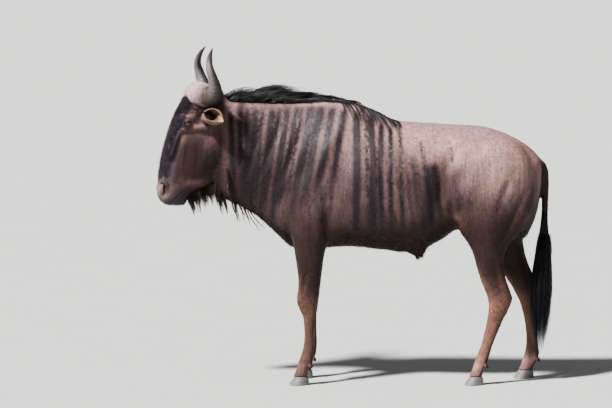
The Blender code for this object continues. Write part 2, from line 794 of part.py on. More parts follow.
def joined(name, pieces, where):
    """One closed body from overlapping pieces, which are then removed."""
    together = bpy.data.collections.new(name + "_pieces")
    bpy.context.scene.collection.children.link(together)
    made = link(name, pieces[0].data.copy(), where)
    bpy.data.objects.remove(pieces[0])
    for item in pieces[1:]:
        for holder in list(item.users_collection):
            holder.objects.unlink(item)
        together.objects.link(item)
    step = made.modifiers.new("join", "BOOLEAN")
    step.operation = "UNION"
    step.solver = "MANIFOLD"
    step.operand_type = "COLLECTION"
    step.collection = together
    settle(made)
    for item in list(together.objects):
        bpy.data.objects.remove(item)
    bpy.data.collections.remove(together)
    return made


def lying_on(points, tree, distance):
    """The points, with those nearer to the skin than that distance moved out along its normal."""
    made = points[:1]
    for point in points[1:]:
        place, normal, _, _ = tree.find_nearest(point)
        height = (point - place).dot(normal)
        made.append(point + normal * max(0.0, distance - height))
    return made


def mane(name, span, rise, count, tree, skin, where, work):
    """Locks that rise from the crest, lean back and fall over it, most of them to the right."""
    draw = random.Random(3)
    start, end = span
    pieces = [crest_core(start, end, 0.016, 0.018, work)]
    for i in range(count):
        share = (i + 0.5) / count
        x = start + (end - start) * share
        side = -1 if i % 3 == 1 else 1
        high = rise(share) * draw.uniform(0.85, 1.1)
        reach = draw.uniform(0.075, 0.115) * (1 if side > 0 else 0.35)
        lean = draw.uniform(0.035, 0.055) * (1 - 0.5 * share) * (1 if side > 0 else 1.4)
        root = Vector((x, side * 0.003, crest(x) - 0.006))
        path = (
            (0.30, 0.010, 0.70 * high),
            (0.80, 0.036, 1.00 * high),
            (1.20, 0.064, 0.55 * high - 0.25 * reach),
            (1.55, 0.088, -reach),
        )
        points = [root] + [root + Vector((lean * along, side * out, up)) for along, out, up in path]
        points = lying_on(points, tree, 0.006)
        pieces.append(lock_object(points, Vector((side, 0, 0)), draw.uniform(0.054, 0.068), 0.011, work))
    made = joined(name, pieces, where)
    cut(made, grown(skin, GAP, work))
    return largest_only(made)


def back_mane(name, span, length, count, tree, skin, where, work):
    """Locks that part along the spine behind the withers and hang down both sides."""
    draw = random.Random(11)
    start, end = span
    pieces = [crest_core(start, end, 0.018, 0.014, work)]
    for i in range(count):
        share = (i + 0.5) / count
        x = start + (end - start) * share
        for side in (-1, 1):
            reach = length(share) * draw.uniform(0.85, 1.1)
            points = [Vector((x, 0, crest(x) - 0.003))]
            for k in range(1, 5):
                part = k / 4
                out = side * reach * math.sin(part * 1.25) * 0.80
                aim = Vector((x + 0.030 * part, out, crest(x) - reach * 0.72 * part ** 1.7))
                place, normal, _, _ = tree.find_nearest(aim)
                points.append(place + normal * (0.010 - 0.001 * k))
            pieces.append(lock_object(points, Vector((side, 0, 0)), draw.uniform(0.052, 0.062), 0.010, work))
    made = joined(name, pieces, where)
    cut(made, grown(skin, GAP, work))
    return largest_only(made)


def beard(name, roots, length, tree, skin, where, work, turn=False):
    """Hanging locks on a shallow pad of roots under the jaw or throat."""
    draw = random.Random(13)
    places = []
    for x, y in roots:
        start = turned((x, y, 0.3)) if turn else Vector((x, y, 0.3))
        hit = tree.ray_cast(start, Vector((0, 0, 1)))[0]
        if hit:
            places.append(hit)
    rings = []
    for place in places:
        wide = 0.020 * (0.5 if place in (places[0], places[-1]) else 1)
        rings.append([
            Vector((place.x, place.y + math.cos(a) * wide, place.z + 0.002 + math.sin(a) * 0.012))
            for a in [2 * math.pi * k / 6 for k in range(6)]
        ])
    form = bmesh.new()
    add_loft(form, rings)
    pieces = [object_from("pad", form, work)]
    for i, place in enumerate(places):
        reach = length * draw.uniform(0.65, 1.1)
        sway = draw.uniform(0.05, 0.25)
        side = (-1, 1, 0)[i % 3] * 0.010
        root = place + Vector((0, side, 0.008))
        points = [root + Vector((reach * sway * t * t, side * t, -(reach + 0.008) * t)) for t in (0, 0.3, 0.65, 1.0)]
        spin = draw.uniform(-0.5, 0.5)
        across = Vector((math.cos(spin), math.sin(spin), 0))
        pieces.append(lock_object(points, across, draw.uniform(0.026, 0.034), 0.013, work))
    made = joined(name, pieces, where)
    cut(made, grown(skin, GAP, work))
    return largest_only(made)


# Tail: x, height and radius along the dock.
DOCK = [
    (0.838, 0.990, 0.024),
    (0.862, 0.985, 0.024),
    (0.876, 0.955, 0.021),
    (0.880, 0.900, 0.019),
    (0.878, 0.820, 0.0175),
    (0.876, 0.740, 0.0165),
    (0.875, 0.665, 0.0165),
]
TASSEL_TOP = 0.700
TASSEL_REACH = 0.043
TASSEL_LOCKS = 13
# Core of the tassel: height, x, and half sizes along and across.
TASSEL_CORE = [
    (0.718, 0.875, 0.017, 0.017),
    (0.680, 0.875, 0.020, 0.018),
    (0.600, 0.874, 0.026, 0.020),
    (0.520, 0.873, 0.026, 0.019),
    (0.430, 0.871, 0.014, 0.011),
]


def tail(body, where, work):
    form = bmesh.new()
    rows = DOCK
    rings = []
    for i, (x, z, radius) in enumerate(rows):
        before = Vector((rows[max(i - 1, 0)][0], 0, rows[max(i - 1, 0)][1]))
        after = Vector((rows[min(i + 1, len(rows) - 1)][0], 0, rows[min(i + 1, len(rows) - 1)][1]))
        way = (after - before).normalized()
        side = way.cross(Vector((0, 1, 0))).normalized()
        rings.append([
            Vector((x, 0, z)) + side * math.cos(a) * radius + Vector((0, 1, 0)) * math.sin(a) * radius * 1.1
            for a in [2 * math.pi * k / 10 for k in range(10)]
        ])
    add_loft(form, rings)
    made = object_from("tail", form, where)
    cut(made, grown(body, GAP, work))
    below = box_cut_by("below", [((0, 0, TASSEL_TOP + GAP), (0, 0, 1))], work)
    cut(made, below)
    return largest_only(made)


def tassel(where, work):
    """The long hair of the tail: locks all round a slim core, out to their tips."""
    draw = random.Random(7)
    rings = []
    for z, x, along, across in smooth_rows(TASSEL_CORE, 2):
        rings.append([
            Vector((x + math.cos(a) * along, math.sin(a) * across, z))
            for a in [2 * math.pi * k / 8 for k in range(8)]
        ])
    form = bmesh.new()
    add_loft(form, rings)
    pieces = [object_from("core", form, work)]
    for i in range(TASSEL_LOCKS):
        angle = math.radians(137.5) * i
        start = 0.665 - 0.26 * i / TASSEL_LOCKS
        end = draw.uniform(0.125, 0.30) if i % 3 else draw.uniform(0.30, 0.40)
        points = []
        for k in range(5):
            share = k / 4
            swell = 0.35 + 0.65 * math.sin(math.pi * min(1, 0.10 + share * 0.95))
            out = TASSEL_REACH * swell
            x = 0.873 - 0.010 * share + math.cos(angle) * out
            y = math.sin(angle) * out * 0.62
            points.append(Vector((x, y, start + (end - start) * share)))
        across = Vector((-math.sin(angle), math.cos(angle), 0))
        pieces.append(lock_object(points, across, draw.uniform(0.040, 0.050), 0.012, work))
    made = joined("tail_tassel", pieces, where)
    cut(made, box_cut_by("above", [((0, 0, TASSEL_TOP), (0, 0, -1))], work))
    return largest_only(made)


def paint(obj, colour, roughness):
    name = "finish_%02x%02x%02x" % tuple(int(c * 255) for c in colour)
    material = bpy.data.materials.get(name) or bpy.data.materials.new(name)
    material.use_nodes = True
    shader = material.node_tree.nodes["Principled BSDF"]
    shader.inputs["Base Color"].default_value = (*colour, 1)
    shader.inputs["Roughness"].default_value = roughness
    obj.data.materials.clear()
    obj.data.materials.append(material)
    obj.data.set_sharp_from_angle(angle=math.radians(50))


def stand_on_origin(objects):
    """Moves everything so that the origin is at the bottom centre of the box round it."""
    points = [v.co for obj in objects for v in obj.data.vertices]
    low = [min(p[k] for p in points) for k in range(3)]
    high = [max(p[k] for p in points) for k in range(3)]
    shift = Matrix.Translation((-(low[0] + high[0]) / 2, -(low[1] + high[1]) / 2, -low[2]))
    for obj in objects:
        obj.data.transform(shift)


def main():
    clear_scene()
    animal = collection("wildebeest")
    work = collection("cutters")
    work.hide_render = True

    body = body_form(work)
    pieces = part_the_body(body, animal, work)
    whole_head = head_form(work)
    head = piece(whole_head, "head", [opposite(HEAD_PLANE)], animal, work)
    bare_head = copy_of(head, "bare_head", work)
    eyes = []
    for side, s in (("left", -1), ("right", 1)):
        eye = ball(f"eye_{side}", (EYE.x, s * EYE.y, EYE.z), [EYE_RADIUS] * 3, animal, 12, 8)
        eyes.append(turn_head(eye))
    shape_face(head, eyes, work)

    graph = bpy.context.evaluated_depsgraph_get()
    body_tree = BVHTree.FromObject(body, graph)
    head_tree = BVHTree.FromObject(bare_head, graph)

    for side, s in (("left", -1), ("right", 1)):
        horn(f"horn_{side}", s, bare_head, animal, work)
        ear(f"ear_{side}", s, bare_head, animal, work)
        for limb in ("fore", "hind"):
            rows = leg_rows(side, limb)
            toe = rows[-1][1] - 0.012
            heel = rows[-1][2] + 0.006
            y = rows[-1][4]
            hoof(f"{limb}_hoof_{side}", toe, heel, y, animal, work)
            lower = pieces[f"{limb}_leg_{side}_lower"]
            add_dew_claws(lower, 0.092, y, work)

    mane("mane", (-0.528, -0.020), mane_rise, 20, body_tree, body, animal, work)
    back_mane("mane_back", (0.062, 0.225), lambda t: 0.17 - 0.05 * t, 5, body_tree, body, animal, work)
    jaw_roots = [(-0.728 + 0.0145 * i, 0) for i in range(12)]
    beard("beard_jaw", jaw_roots, 0.082, head_tree, bare_head, animal, work, turn=True)
    throat_roots = [(-0.515 + 0.0165 * i, 0) for i in range(9)]
    beard("beard_throat", throat_roots, 0.075, body_tree, body, animal, work)

    tail(body, animal, work)
    tassel(animal, work)

    for obj in list(work.objects):
        bpy.data.objects.remove(obj)
    parts = list(animal.objects)
    stand_on_origin(parts)
    for obj in parts:
        if obj.name.startswith(("mane", "beard", "tail")):
            paint(obj, DARK_HAIR, 0.6)
        elif "hoof" in obj.name:
            paint(obj, HOOF, 0.5)
        elif obj.name.startswith("horn"):
            paint(obj, HORN, 0.5)
        elif obj.name.startswith("eye"):
            paint(obj, EYE_COLOUR, 0.08)
        elif obj.name.startswith("ear"):
            paint(obj, EAR, 0.8)
        elif obj.name.endswith("lower"):
            paint(obj, TAN_LEG, 0.75)
        else:
            paint(obj, SKIN, 0.75)


main()
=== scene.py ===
"""A young blue wildebeest bull, standing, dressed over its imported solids.

Metres, +Z up, head towards -X, the animal's left side towards -Y. The hide is one
skin over all the flesh, with short fur, mane, beard and tail hair as meshes on it.
"""
import math

import bmesh
import bpy
import numpy as np
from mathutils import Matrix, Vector
from mathutils.bvhtree import BVHTree


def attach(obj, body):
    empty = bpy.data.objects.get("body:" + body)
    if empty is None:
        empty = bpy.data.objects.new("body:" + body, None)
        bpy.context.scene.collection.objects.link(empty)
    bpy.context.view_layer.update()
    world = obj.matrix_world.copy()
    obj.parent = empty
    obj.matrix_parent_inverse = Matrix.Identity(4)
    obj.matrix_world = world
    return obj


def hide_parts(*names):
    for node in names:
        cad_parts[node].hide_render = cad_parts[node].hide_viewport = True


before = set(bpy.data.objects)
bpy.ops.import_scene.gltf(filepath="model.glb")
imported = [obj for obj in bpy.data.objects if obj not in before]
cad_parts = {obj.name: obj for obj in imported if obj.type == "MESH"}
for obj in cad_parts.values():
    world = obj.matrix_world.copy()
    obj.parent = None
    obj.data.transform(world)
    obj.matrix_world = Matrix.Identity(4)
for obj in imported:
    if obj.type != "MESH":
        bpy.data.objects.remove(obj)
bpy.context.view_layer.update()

# Camera
# The photo is taken from the animal's left, a little above its shoulder and far off, through a long lens.
# The picture is 612 pixels wide, and one pixel is 4.5 mm on the animal.
PICTURE_WIDTH = 612 * 0.0045
CAMERA_AWAY = 15.0
CAMERA_RAISE = math.radians(5)
CAMERA_AIM = Vector((-0.2208, 0.0, 0.806))

bpy.ops.object.select_all(action="DESELECT")
camera_way = Vector((0, -math.cos(CAMERA_RAISE), math.sin(CAMERA_RAISE)))
bpy.ops.object.camera_add(location=CAMERA_AIM + camera_way * CAMERA_AWAY)
camera = bpy.context.active_object
camera.name = "camera"
camera.rotation_euler = (-camera_way).to_track_quat("-Z", "Y").to_euler()
camera.data.sensor_width = 36
camera.data.lens = 36 * CAMERA_AWAY / PICTURE_WIDTH
camera.data.clip_end = 500
bpy.context.scene.camera = camera


# Floor
# A pale, plain studio floor: one wide sheet under the hooves, which runs back far past the picture's top.
# Its finish is worked out in shader nodes, as all finishes here are.
FLOOR_SIZE = 400
FLOOR_MIDDLE = (0, 120, 0)


class Value:
    """One socket of a node, so that sums with it read as sums."""

    def __init__(self, recipe, socket):
        self.recipe = recipe
        self.socket = socket

    def sum(self, operation, other, turned=False):
        pair = (other, self) if turned else (self, other)
        return self.recipe.node("ShaderNodeMath", {"operation": operation}, {0: pair[0], 1: pair[1]})

    def __add__(self, other):
        return self.sum("ADD", other)

    __radd__ = __add__

    def __mul__(self, other):
        return self.sum("MULTIPLY", other)

    __rmul__ = __mul__

    def __sub__(self, other):
        return self.sum("SUBTRACT", other)

    def __rsub__(self, other):
        return self.sum("SUBTRACT", other, True)

    def __truediv__(self, other):
        return self.sum("DIVIDE", other)

    def __pow__(self, other):
        return self.sum("POWER", other)


class Recipe:
    """The node tree of one material."""

    def __init__(self, name):
        self.material = bpy.data.materials.new(name)
        self.material.use_nodes = True
        self.tree = self.material.node_tree
        self.shader = self.tree.nodes["Principled BSDF"]

    def put(self, target, value):
        if isinstance(value, Value):
            self.tree.links.new(value.socket, target)
        elif hasattr(value, "__len__") and target.type == "RGBA":
            target.default_value = (*value, 1)[:4]
        else:
            target.default_value = value

    def node(self, kind, settings=None, inputs=None, output=0):
        made = self.tree.nodes.new(kind)
        for name, value in (settings or {}).items():
            if name == "stops":
                while len(made.color_ramp.elements) < len(value):
                    made.color_ramp.elements.new(0.5)
                for stop, (place, colour) in zip(made.color_ramp.elements, value):
                    stop.position = place
                    stop.color = (*colour, 1)
            else:
                setattr(made, name, value)
        for name, value in (inputs or {}).items():
            self.put(made.inputs[name], value)
        return Value(self, made.outputs[output])

    def place(self):
        return self.node("ShaderNodeTexCoord", output="Object")

    def stretched(self, scale):
        return self.node("ShaderNodeMapping", inputs={"Vector": self.place(), "Scale": scale})

    def noise(self, scale, detail=3.0, rough=0.55, place=None):
        inputs = {"Vector": place or self.place(), "Scale": scale, "Detail": detail, "Roughness": rough}
        return self.node("ShaderNodeTexNoise", inputs=inputs, output="Fac")

    def span(self, value, low, high, to_low=0.0, to_high=1.0):
        inputs = {"Value": value, "From Min": low, "From Max": high, "To Min": to_low, "To Max": to_high}
        return self.node("ShaderNodeMapRange", inputs=inputs)

    def blend(self, share, first, second):
        return self.node("ShaderNodeMix", {"data_type": "RGBA"}, {0: share, 6: first, 7: second}, 2)

    def scaled(self, colour, shade):
        return self.node("ShaderNodeVectorMath", {"operation": "SCALE"}, {0: colour, "Scale": shade})

    def sine(self, value):
        return self.node("ShaderNodeMath", {"operation": "SINE"}, {0: value})

    def layer(self, name, output="Fac"):
        return self.node("ShaderNodeAttribute", {"attribute_name": name}, output=output)

    def channel(self, colour, which):
        return self.node("ShaderNodeSeparateColor", inputs={0: colour}, output=which)

    def finish(self, colour=None, roughness=None, bump=None, depth=0.001, strength=1.0):
        for name, value in (("Base Color", colour), ("Roughness", roughness)):
            if value is not None:
                self.put(self.shader.inputs[name], value)
        if bump is not None:
            inputs = {"Height": bump, "Distance": depth, "Strength": strength}
            normal = self.node("ShaderNodeBump", inputs=inputs)
            self.put(self.shader.inputs["Normal"], normal)
        return self.material


bpy.ops.object.select_all(action="DESELECT")
bpy.ops.mesh.primitive_plane_add(size=FLOOR_SIZE, location=FLOOR_MIDDLE)
floor = bpy.context.active_object
floor.name = "floor"
floor_recipe = Recipe("pale_floor")
floor_tone = floor_recipe.noise(3.0, 4)
floor_colour = floor_recipe.blend(floor_tone, (0.43, 0.427, 0.415), (0.46, 0.457, 0.445))
floor.data.materials.append(floor_recipe.finish(floor_colour, 0.8))

# Lights
# A broad, distant key light high ahead on the animal's left, so that the back shines and the belly is dark.
# A wide weak light fills from the camera's side.
KEY_WAY = Vector((-0.46, -0.46, 0.76))
FILL_WAY = Vector((-0.17, -1.0, 0.13))


def light(kind, name, spot, way, energy):
    """A light at a spot, with its back turned along a way."""
    bpy.ops.object.select_all(action="DESELECT")
    bpy.ops.object.light_add(type=kind, location=spot)
    made = bpy.context.active_object
    made.name = name
    made.data.energy = energy
    made.rotation_euler = way.to_track_quat("Z", "Y").to_euler()
    return made.data


light("SUN", "key_light", KEY_WAY * 6, KEY_WAY, 10.5).angle = math.radians(7)
light("AREA", "fill_light", (-1.0, -6.0, 1.6), FILL_WAY, 25).size = 4.0
air = bpy.data.worlds.new("air")
air.use_nodes = True
air.node_tree.nodes["Background"].inputs["Color"].default_value = (0.90, 0.93, 0.97, 1)
air.node_tree.nodes["Background"].inputs["Strength"].default_value = 0.24
bpy.context.scene.world = air
bpy.context.scene.view_settings.look = "AgX - Medium High Contrast"

# Skin
# The hide of head, neck, trunk, legs and tail is one piece without a seam. The solids of the flesh are
# fused into one closed skin, softened, drawn in by the depth of the short coat, and folded at the muscles.
FLESH = ["head", "neck", "torso", "tail"]
FLESH += [
    f"{limb}_leg_{side}_{part}"
    for limb in ("fore", "hind") for side in ("left", "right") for part in ("upper", "lower")
]
SKIN_GROWTH = 0.0006
SKIN_VOXEL = 0.0036
SKIN_FACES = 128000
ROUGHEN = 0.0012
FINE_REACH = 0.024
COAT_DEPTH = 0.0022
FOLD_STRENGTH = 1.5
# Each fold is a line in the side view: its ends (x, z), half width, and depth, negative for a ridge.
FOLDS = (
    ((-0.100, 0.880), (-0.118, 0.640), 0.016, 0.010),
    ((-0.330, 0.790), (-0.250, 0.690), 0.018, 0.006),
    ((-0.165, 1.130), (-0.290, 0.840), 0.030, 0.005),
    ((-0.020, 1.080), (-0.105, 0.860), 0.035, 0.006),
    ((0.400, 0.960), (0.375, 0.800), 0.030, 0.012),
    ((0.400, 0.772), (0.462, 0.742), 0.012, -0.008),
    ((0.440, 0.880), (0.460, 0.750), 0.016, -0.006),
    ((0.775, 0.900), (0.640, 0.620), 0.018, 0.007),
    ((0.600, 1.030), (0.560, 0.820), 0.045, 0.005),
    ((-0.240, 0.560), (-0.160, 0.420), 0.012, 0.003),
    ((0.610, 0.560), (0.655, 0.420), 0.012, 0.006),
    ((-0.140, 0.880), (-0.122, 0.640), 0.013, 0.010),
    ((-0.265, 0.880), (-0.215, 0.680), 0.045, -0.010),
    ((-0.050, 1.200), (-0.205, 0.900), 0.022, -0.006),
    ((-0.205, 1.210), (-0.330, 0.920), 0.020, 0.006),
    ((-0.330, 1.190), (-0.430, 0.930), 0.014, 0.005),
    ((-0.420, 1.180), (-0.490, 0.920), 0.012, 0.004),
    ((-0.500, 1.150), (-0.530, 0.930), 0.010, 0.004),
    ((-0.180, 0.800), (-0.165, 0.640), 0.022, -0.006),
    ((0.470, 1.110), (0.380, 0.930), 0.030, 0.007),
    ((0.445, 1.120), (0.475, 1.080), 0.035, -0.008),
    ((0.530, 0.980), (0.475, 0.800), 0.035, -0.006),
    ((0.640, 0.900), (0.600, 0.680), 0.030, -0.006),
    ((0.700, 0.960), (0.610, 0.740), 0.018, 0.006),
    ((-0.215, 0.530), (-0.240, 0.420), 0.010, 0.004),
    ((0.625, 0.560), (0.660, 0.400), 0.008, 0.004),
    ((0.780, 0.560), (0.815, 0.400), 0.012, 0.006),
)
RIB_PITCH = 0.043
RIB_DEPTH = 0.0024
# Under the belly: x, reach and drop of the sheath's tip, and then of the hollow ahead of it.
SHEATH = ((0.292, 0.022, 0.009), (0.228, 0.034, -0.014))
# The head is turned this much to the left, about an upright line at the top of the neck.
HEAD_TURN = math.radians(10)
HEAD_TURNED = np.array([
    (math.cos(HEAD_TURN), -math.sin(HEAD_TURN), 0), (math.sin(HEAD_TURN), math.cos(HEAD_TURN), 0), (0, 0, 1),
])
HEAD_PIVOT = np.array([-0.5978, 0.0076, 0.0])
HEAD_SHIFT = np.array([-0.575, 0.0, 0.0])
# In the head's own frame, before its turn: fold lines of brow, cheek, muzzle and mouth, as above.
FACE_FOLDS = (
    ((-0.836, 0.806), (-0.800, 0.831), 0.0030, 0.0050),
    ((-0.800, 0.831), (-0.762, 0.868), 0.0030, 0.0040),
    ((-0.775, 1.118), (-0.800, 1.000), 0.010, 0.0050),
    ((-0.752, 1.120), (-0.768, 0.980), 0.009, -0.0045),
    ((-0.715, 1.145), (-0.660, 1.120), 0.012, 0.0022),
    ((-0.770, 1.222), (-0.718, 1.224), 0.005, 0.0028),
    ((-0.772, 1.238), (-0.722, 1.242), 0.005, 0.0022),
    ((-0.730, 0.930), (-0.660, 0.915), 0.014, 0.0035),
    ((-0.640, 1.110), (-0.600, 0.990), 0.012, 0.0035),
    ((-0.815, 0.930), (-0.790, 0.885), 0.010, 0.0030),
    ((-0.790, 1.196), (-0.757, 1.218), 0.0040, 0.0035),
    ((-0.768, 1.212), (-0.726, 1.198), 0.0040, -0.0030),
    ((-0.780, 1.160), (-0.744, 1.146), 0.0040, 0.0030),
    ((-0.765, 1.142), (-0.722, 1.148), 0.0040, 0.0030),
    ((-0.712, 1.192), (-0.690, 1.160), 0.0040, 0.0030),
    ((-0.722, 1.212), (-0.692, 1.190), 0.0040, 0.0025),
    ((-0.690, 1.080), (-0.705, 0.960), 0.0120, 0.0030),
    ((-0.660, 1.060), (-0.672, 0.950), 0.0100, -0.0020),
)
EYE = (-0.741, 0.0745, 1.176)
EYE_RADIUS = 0.0205
LID_OPENING = (0.0165, 0.0085)
LID_TILT = math.radians(14)
NOSTRIL = (-0.857, 0.882)
NOSTRIL_REACH = (0.0145, 0.024)


def choose(obj):
    bpy.ops.object.select_all(action="DESELECT")
    bpy.context.view_layer.objects.active = obj
    obj.select_set(True)


def apply_all(obj):
    choose(obj)
    for modifier in list(obj.modifiers):
        bpy.ops.object.modifier_apply(modifier=modifier.name)


def object_from(name, data):
    made = bpy.data.objects.new(name, data)
    bpy.context.scene.collection.objects.link(made)
    return made


def copy_nodes(names, name):
    """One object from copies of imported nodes, with their loose triangles merged."""
    form = bmesh.new()
    for node in names:
        form.from_mesh(bpy.data.objects[node].data)
    bmesh.ops.remove_doubles(form, verts=form.verts, dist=0.00002)
    mesh = bpy.data.meshes.new(name)
    form.to_mesh(mesh)
    form.free()
    return object_from(name, mesh)


def points_of(obj, what="co"):
    values = np.empty(len(obj.data.vertices) * 3)
    obj.data.vertices.foreach_get(what, values)
    return values.reshape(-1, 3)


def move_points(obj, places):
    obj.data.vertices.foreach_set("co", places.ravel())
    obj.data.update()


def split_wide(form):
    """Cuts every face of more than four corners into triangles."""
    bmesh.ops.triangulate(form, faces=[face for face in form.faces if len(face.verts) > 4])


def fuse_and_soften(obj, voxel, rounds):
    fuse = obj.modifiers.new("fuse", "REMESH")
    fuse.mode = "VOXEL"
    fuse.voxel_size = voxel
    soften = obj.modifiers.new("soften", "SMOOTH")
    soften.factor = 0.5
    soften.iterations = rounds
    apply_all(obj)
    bpy.ops.object.shade_smooth()


def ripple(places, scale, seed):
    """A smooth wandering value between -1 and 1 at each place."""
    draw = np.random.default_rng(seed)
    total = np.zeros(len(places))
    for _ in range(7):
        way = draw.normal(size=3)
        along = places @ (way / np.linalg.norm(way))
        total += np.sin(along * scale * draw.uniform(0.6, 1.6) + draw.uniform(0, 6.28))
    return total / 3.5


def step(value, low, high):
    """0 below low, 1 above high, and a smooth rise between. It falls where low is above high."""
    share = np.clip((value - low) / (high - low), 0, 1)
    return share * share * (3 - 2 * share)


def from_line(places, start, end, half_width):
    """How near each place is to a line in the side view: 1 on it, falling away over its half width."""
    start = np.array(start)
    way = np.array(end) - start
    flat = places[:, [0, 2]] - start
    share = np.clip(flat @ way / (way @ way), 0, 1)
    off = np.linalg.norm(flat - share[:, None] * way, axis=1) / half_width
    return np.exp(-off * off) * (0.35 + 0.65 * np.sin(np.pi * np.clip(share, 0.02, 0.98)))


def hump(value, middle, reach):
    """1 at the middle, falling away on both sides over its reach."""
    return np.exp(-((value - middle) / reach) ** 2)


def near(places, centre, reach):
    """1 at a place in the side view, falling away over its reach in x and z."""
    x, _, z = places.T
    return np.exp(-((x - centre[0]) / reach[0]) ** 2 - ((z - centre[1]) / reach[1]) ** 2)


def in_head(places):
    """Places in the head's own frame, which its middle line halves at y = 0."""
    return (places - HEAD_PIVOT) @ HEAD_TURNED + HEAD_SHIFT


def from_head(places):
    return (np.atleast_2d(places) - HEAD_SHIFT) @ HEAD_TURNED.T + HEAD_PIVOT


def from_nostril(on_face):
    """How far out each place is, where 1 is the nostril's rim, and how far behind its front edge."""
    x = on_face[:, 0] - NOSTRIL[0]
    z = on_face[:, 2] - NOSTRIL[1]
    return np.hypot(x / NOSTRIL_REACH[0], z / NOSTRIL_REACH[1]), step(x + 0.5 * z, -0.012, 0.006)


skin = copy_nodes(FLESH, "skin")
move_points(skin, points_of(skin) + points_of(skin, "normal") * SKIN_GROWTH)
fuse_and_soften(skin, SKIN_VOXEL, 5)
places = points_of(skin)
# Thinning takes flat places first, so these are roughened before it, and smoothed after it.
plain = (places[:, 0] > -0.62) & (places[:, 2] > 0.12)
rough = np.random.default_rng(2).uniform(-ROUGHEN, ROUGHEN, len(places)) * plain
move_points(skin, places + points_of(skin, "normal") * rough[:, None])
can_thin = skin.vertex_groups.new(name="can_thin")
can_thin.add([int(i) for i in np.nonzero(plain)[0]], 1.0, "REPLACE")
triangles = sum(len(face.vertices) - 2 for face in skin.data.polygons)
thin = skin.modifiers.new("thin", "DECIMATE")
thin.ratio = SKIN_FACES / triangles
thin.vertex_group = can_thin.name
thin.vertex_group_factor = 1.0
relax = skin.modifiers.new("relax", "SMOOTH")
relax.factor = 0.5
relax.iterations = 7
relax.vertex_group = can_thin.name
apply_all(skin)
skin.vertex_groups.clear()

# Finer faces round eyes, nostrils and mouth, for the lids and folds there.
for _ in range(2):
    form = bmesh.new()
    form.from_mesh(skin.data)
    middles = in_head(np.array([face.calc_center_median() for face in form.faces]))
    round_eye = np.hypot(middles[:, 0] - EYE[0], middles[:, 2] - EYE[2]) < FINE_REACH
    round_nostril = np.hypot(middles[:, 0] - NOSTRIL[0], middles[:, 2] - NOSTRIL[1]) < FINE_REACH
    fine = (round_eye | round_nostril) & (np.abs(middles[:, 1]) > 0.020)
    edges = {edge for face, chosen in zip(form.faces, fine) if chosen for edge in face.edges}
    bmesh.ops.subdivide_edges(form, edges=list(edges), cuts=1, use_grid_fill=True, smooth=0.0)
    split_wide(form)
    form.to_mesh(skin.data)
    form.free()
bpy.ops.object.shade_smooth()
places = points_of(skin)
normals = points_of(skin, "normal")
sideways = np.abs(normals[:, 1])
on_face = in_head(places)
sink = np.full(len(places), COAT_DEPTH)
for start, end, half_width, depth in FOLDS:
    sink += FOLD_STRENGTH * depth * from_line(places, start, end, half_width) * sideways
ribs = step(places[:, 0], 0.02, 0.10) * step(places[:, 0], 0.46, 0.38) * step(places[:, 2], 0.68, 0.76)
ribs *= step(places[:, 2], 1.08, 1.0)
sink += RIB_DEPTH * ribs * np.sin((places[:, 0] + 0.12 * places[:, 2]) * 2 * np.pi / RIB_PITCH)
sink += 0.0010 * ripple(places, 28, 4) + 0.0005 * ripple(places, 75, 5)
cheeks = step(places[:, 0], -0.56, -0.60) * step(np.abs(on_face[:, 1]), 0.018, 0.032)
for start, end, half_width, depth in FACE_FOLDS:
    sink += depth * from_line(on_face, start, end, half_width) * cheeks
rim, behind = from_nostril(on_face)
sink += 0.007 * hump(rim, 1, 0.28) * behind * cheeks
sink -= 0.003 * hump(rim, 0, 0.7) * cheeks
places = places - normals * sink[:, None]
under = (np.abs(places[:, 1]) < 0.06) * step(places[:, 2], 0.66, 0.60) * step(places[:, 0], 0.10, 0.14)
for x, reach, drop in SHEATH:
    places[:, 2] -= drop * under * hump(places[:, 0], x, reach)

# Lids: the skin round each eye is drawn to just outside the ball, thick at the rim and sunk within it.
on_face = in_head(places)
for side in (-1, 1):
    centre = np.array([EYE[0], side * EYE[1], EYE[2]])
    off = on_face - centre
    tilted_x = off[:, 0] * math.cos(LID_TILT) + off[:, 2] * math.sin(LID_TILT)
    tilted_z = off[:, 2] * math.cos(LID_TILT) - off[:, 0] * math.sin(LID_TILT)
    opening = np.hypot(tilted_x / LID_OPENING[0], tilted_z / LID_OPENING[1])
    own_side = (side * on_face[:, 1] > 0.03) & (opening < 2.6)
    far_off = np.linalg.norm(off, axis=1)
    lid = EYE_RADIUS + 0.0036 * hump(opening, 1.30, 0.26) - 0.0045 * step(opening, 1.08, 0.86)
    wanted = np.where(opening < 1.0, lid, np.maximum(far_off, lid))
    share = (step(opening, 2.2, 1.4) * own_side)[:, None]
    on_face += off / far_off[:, None] * (wanted - far_off)[:, None] * share
face_points = places[:, 0] < -0.62
places[face_points] = from_head(on_face[face_points])
move_points(skin, places)

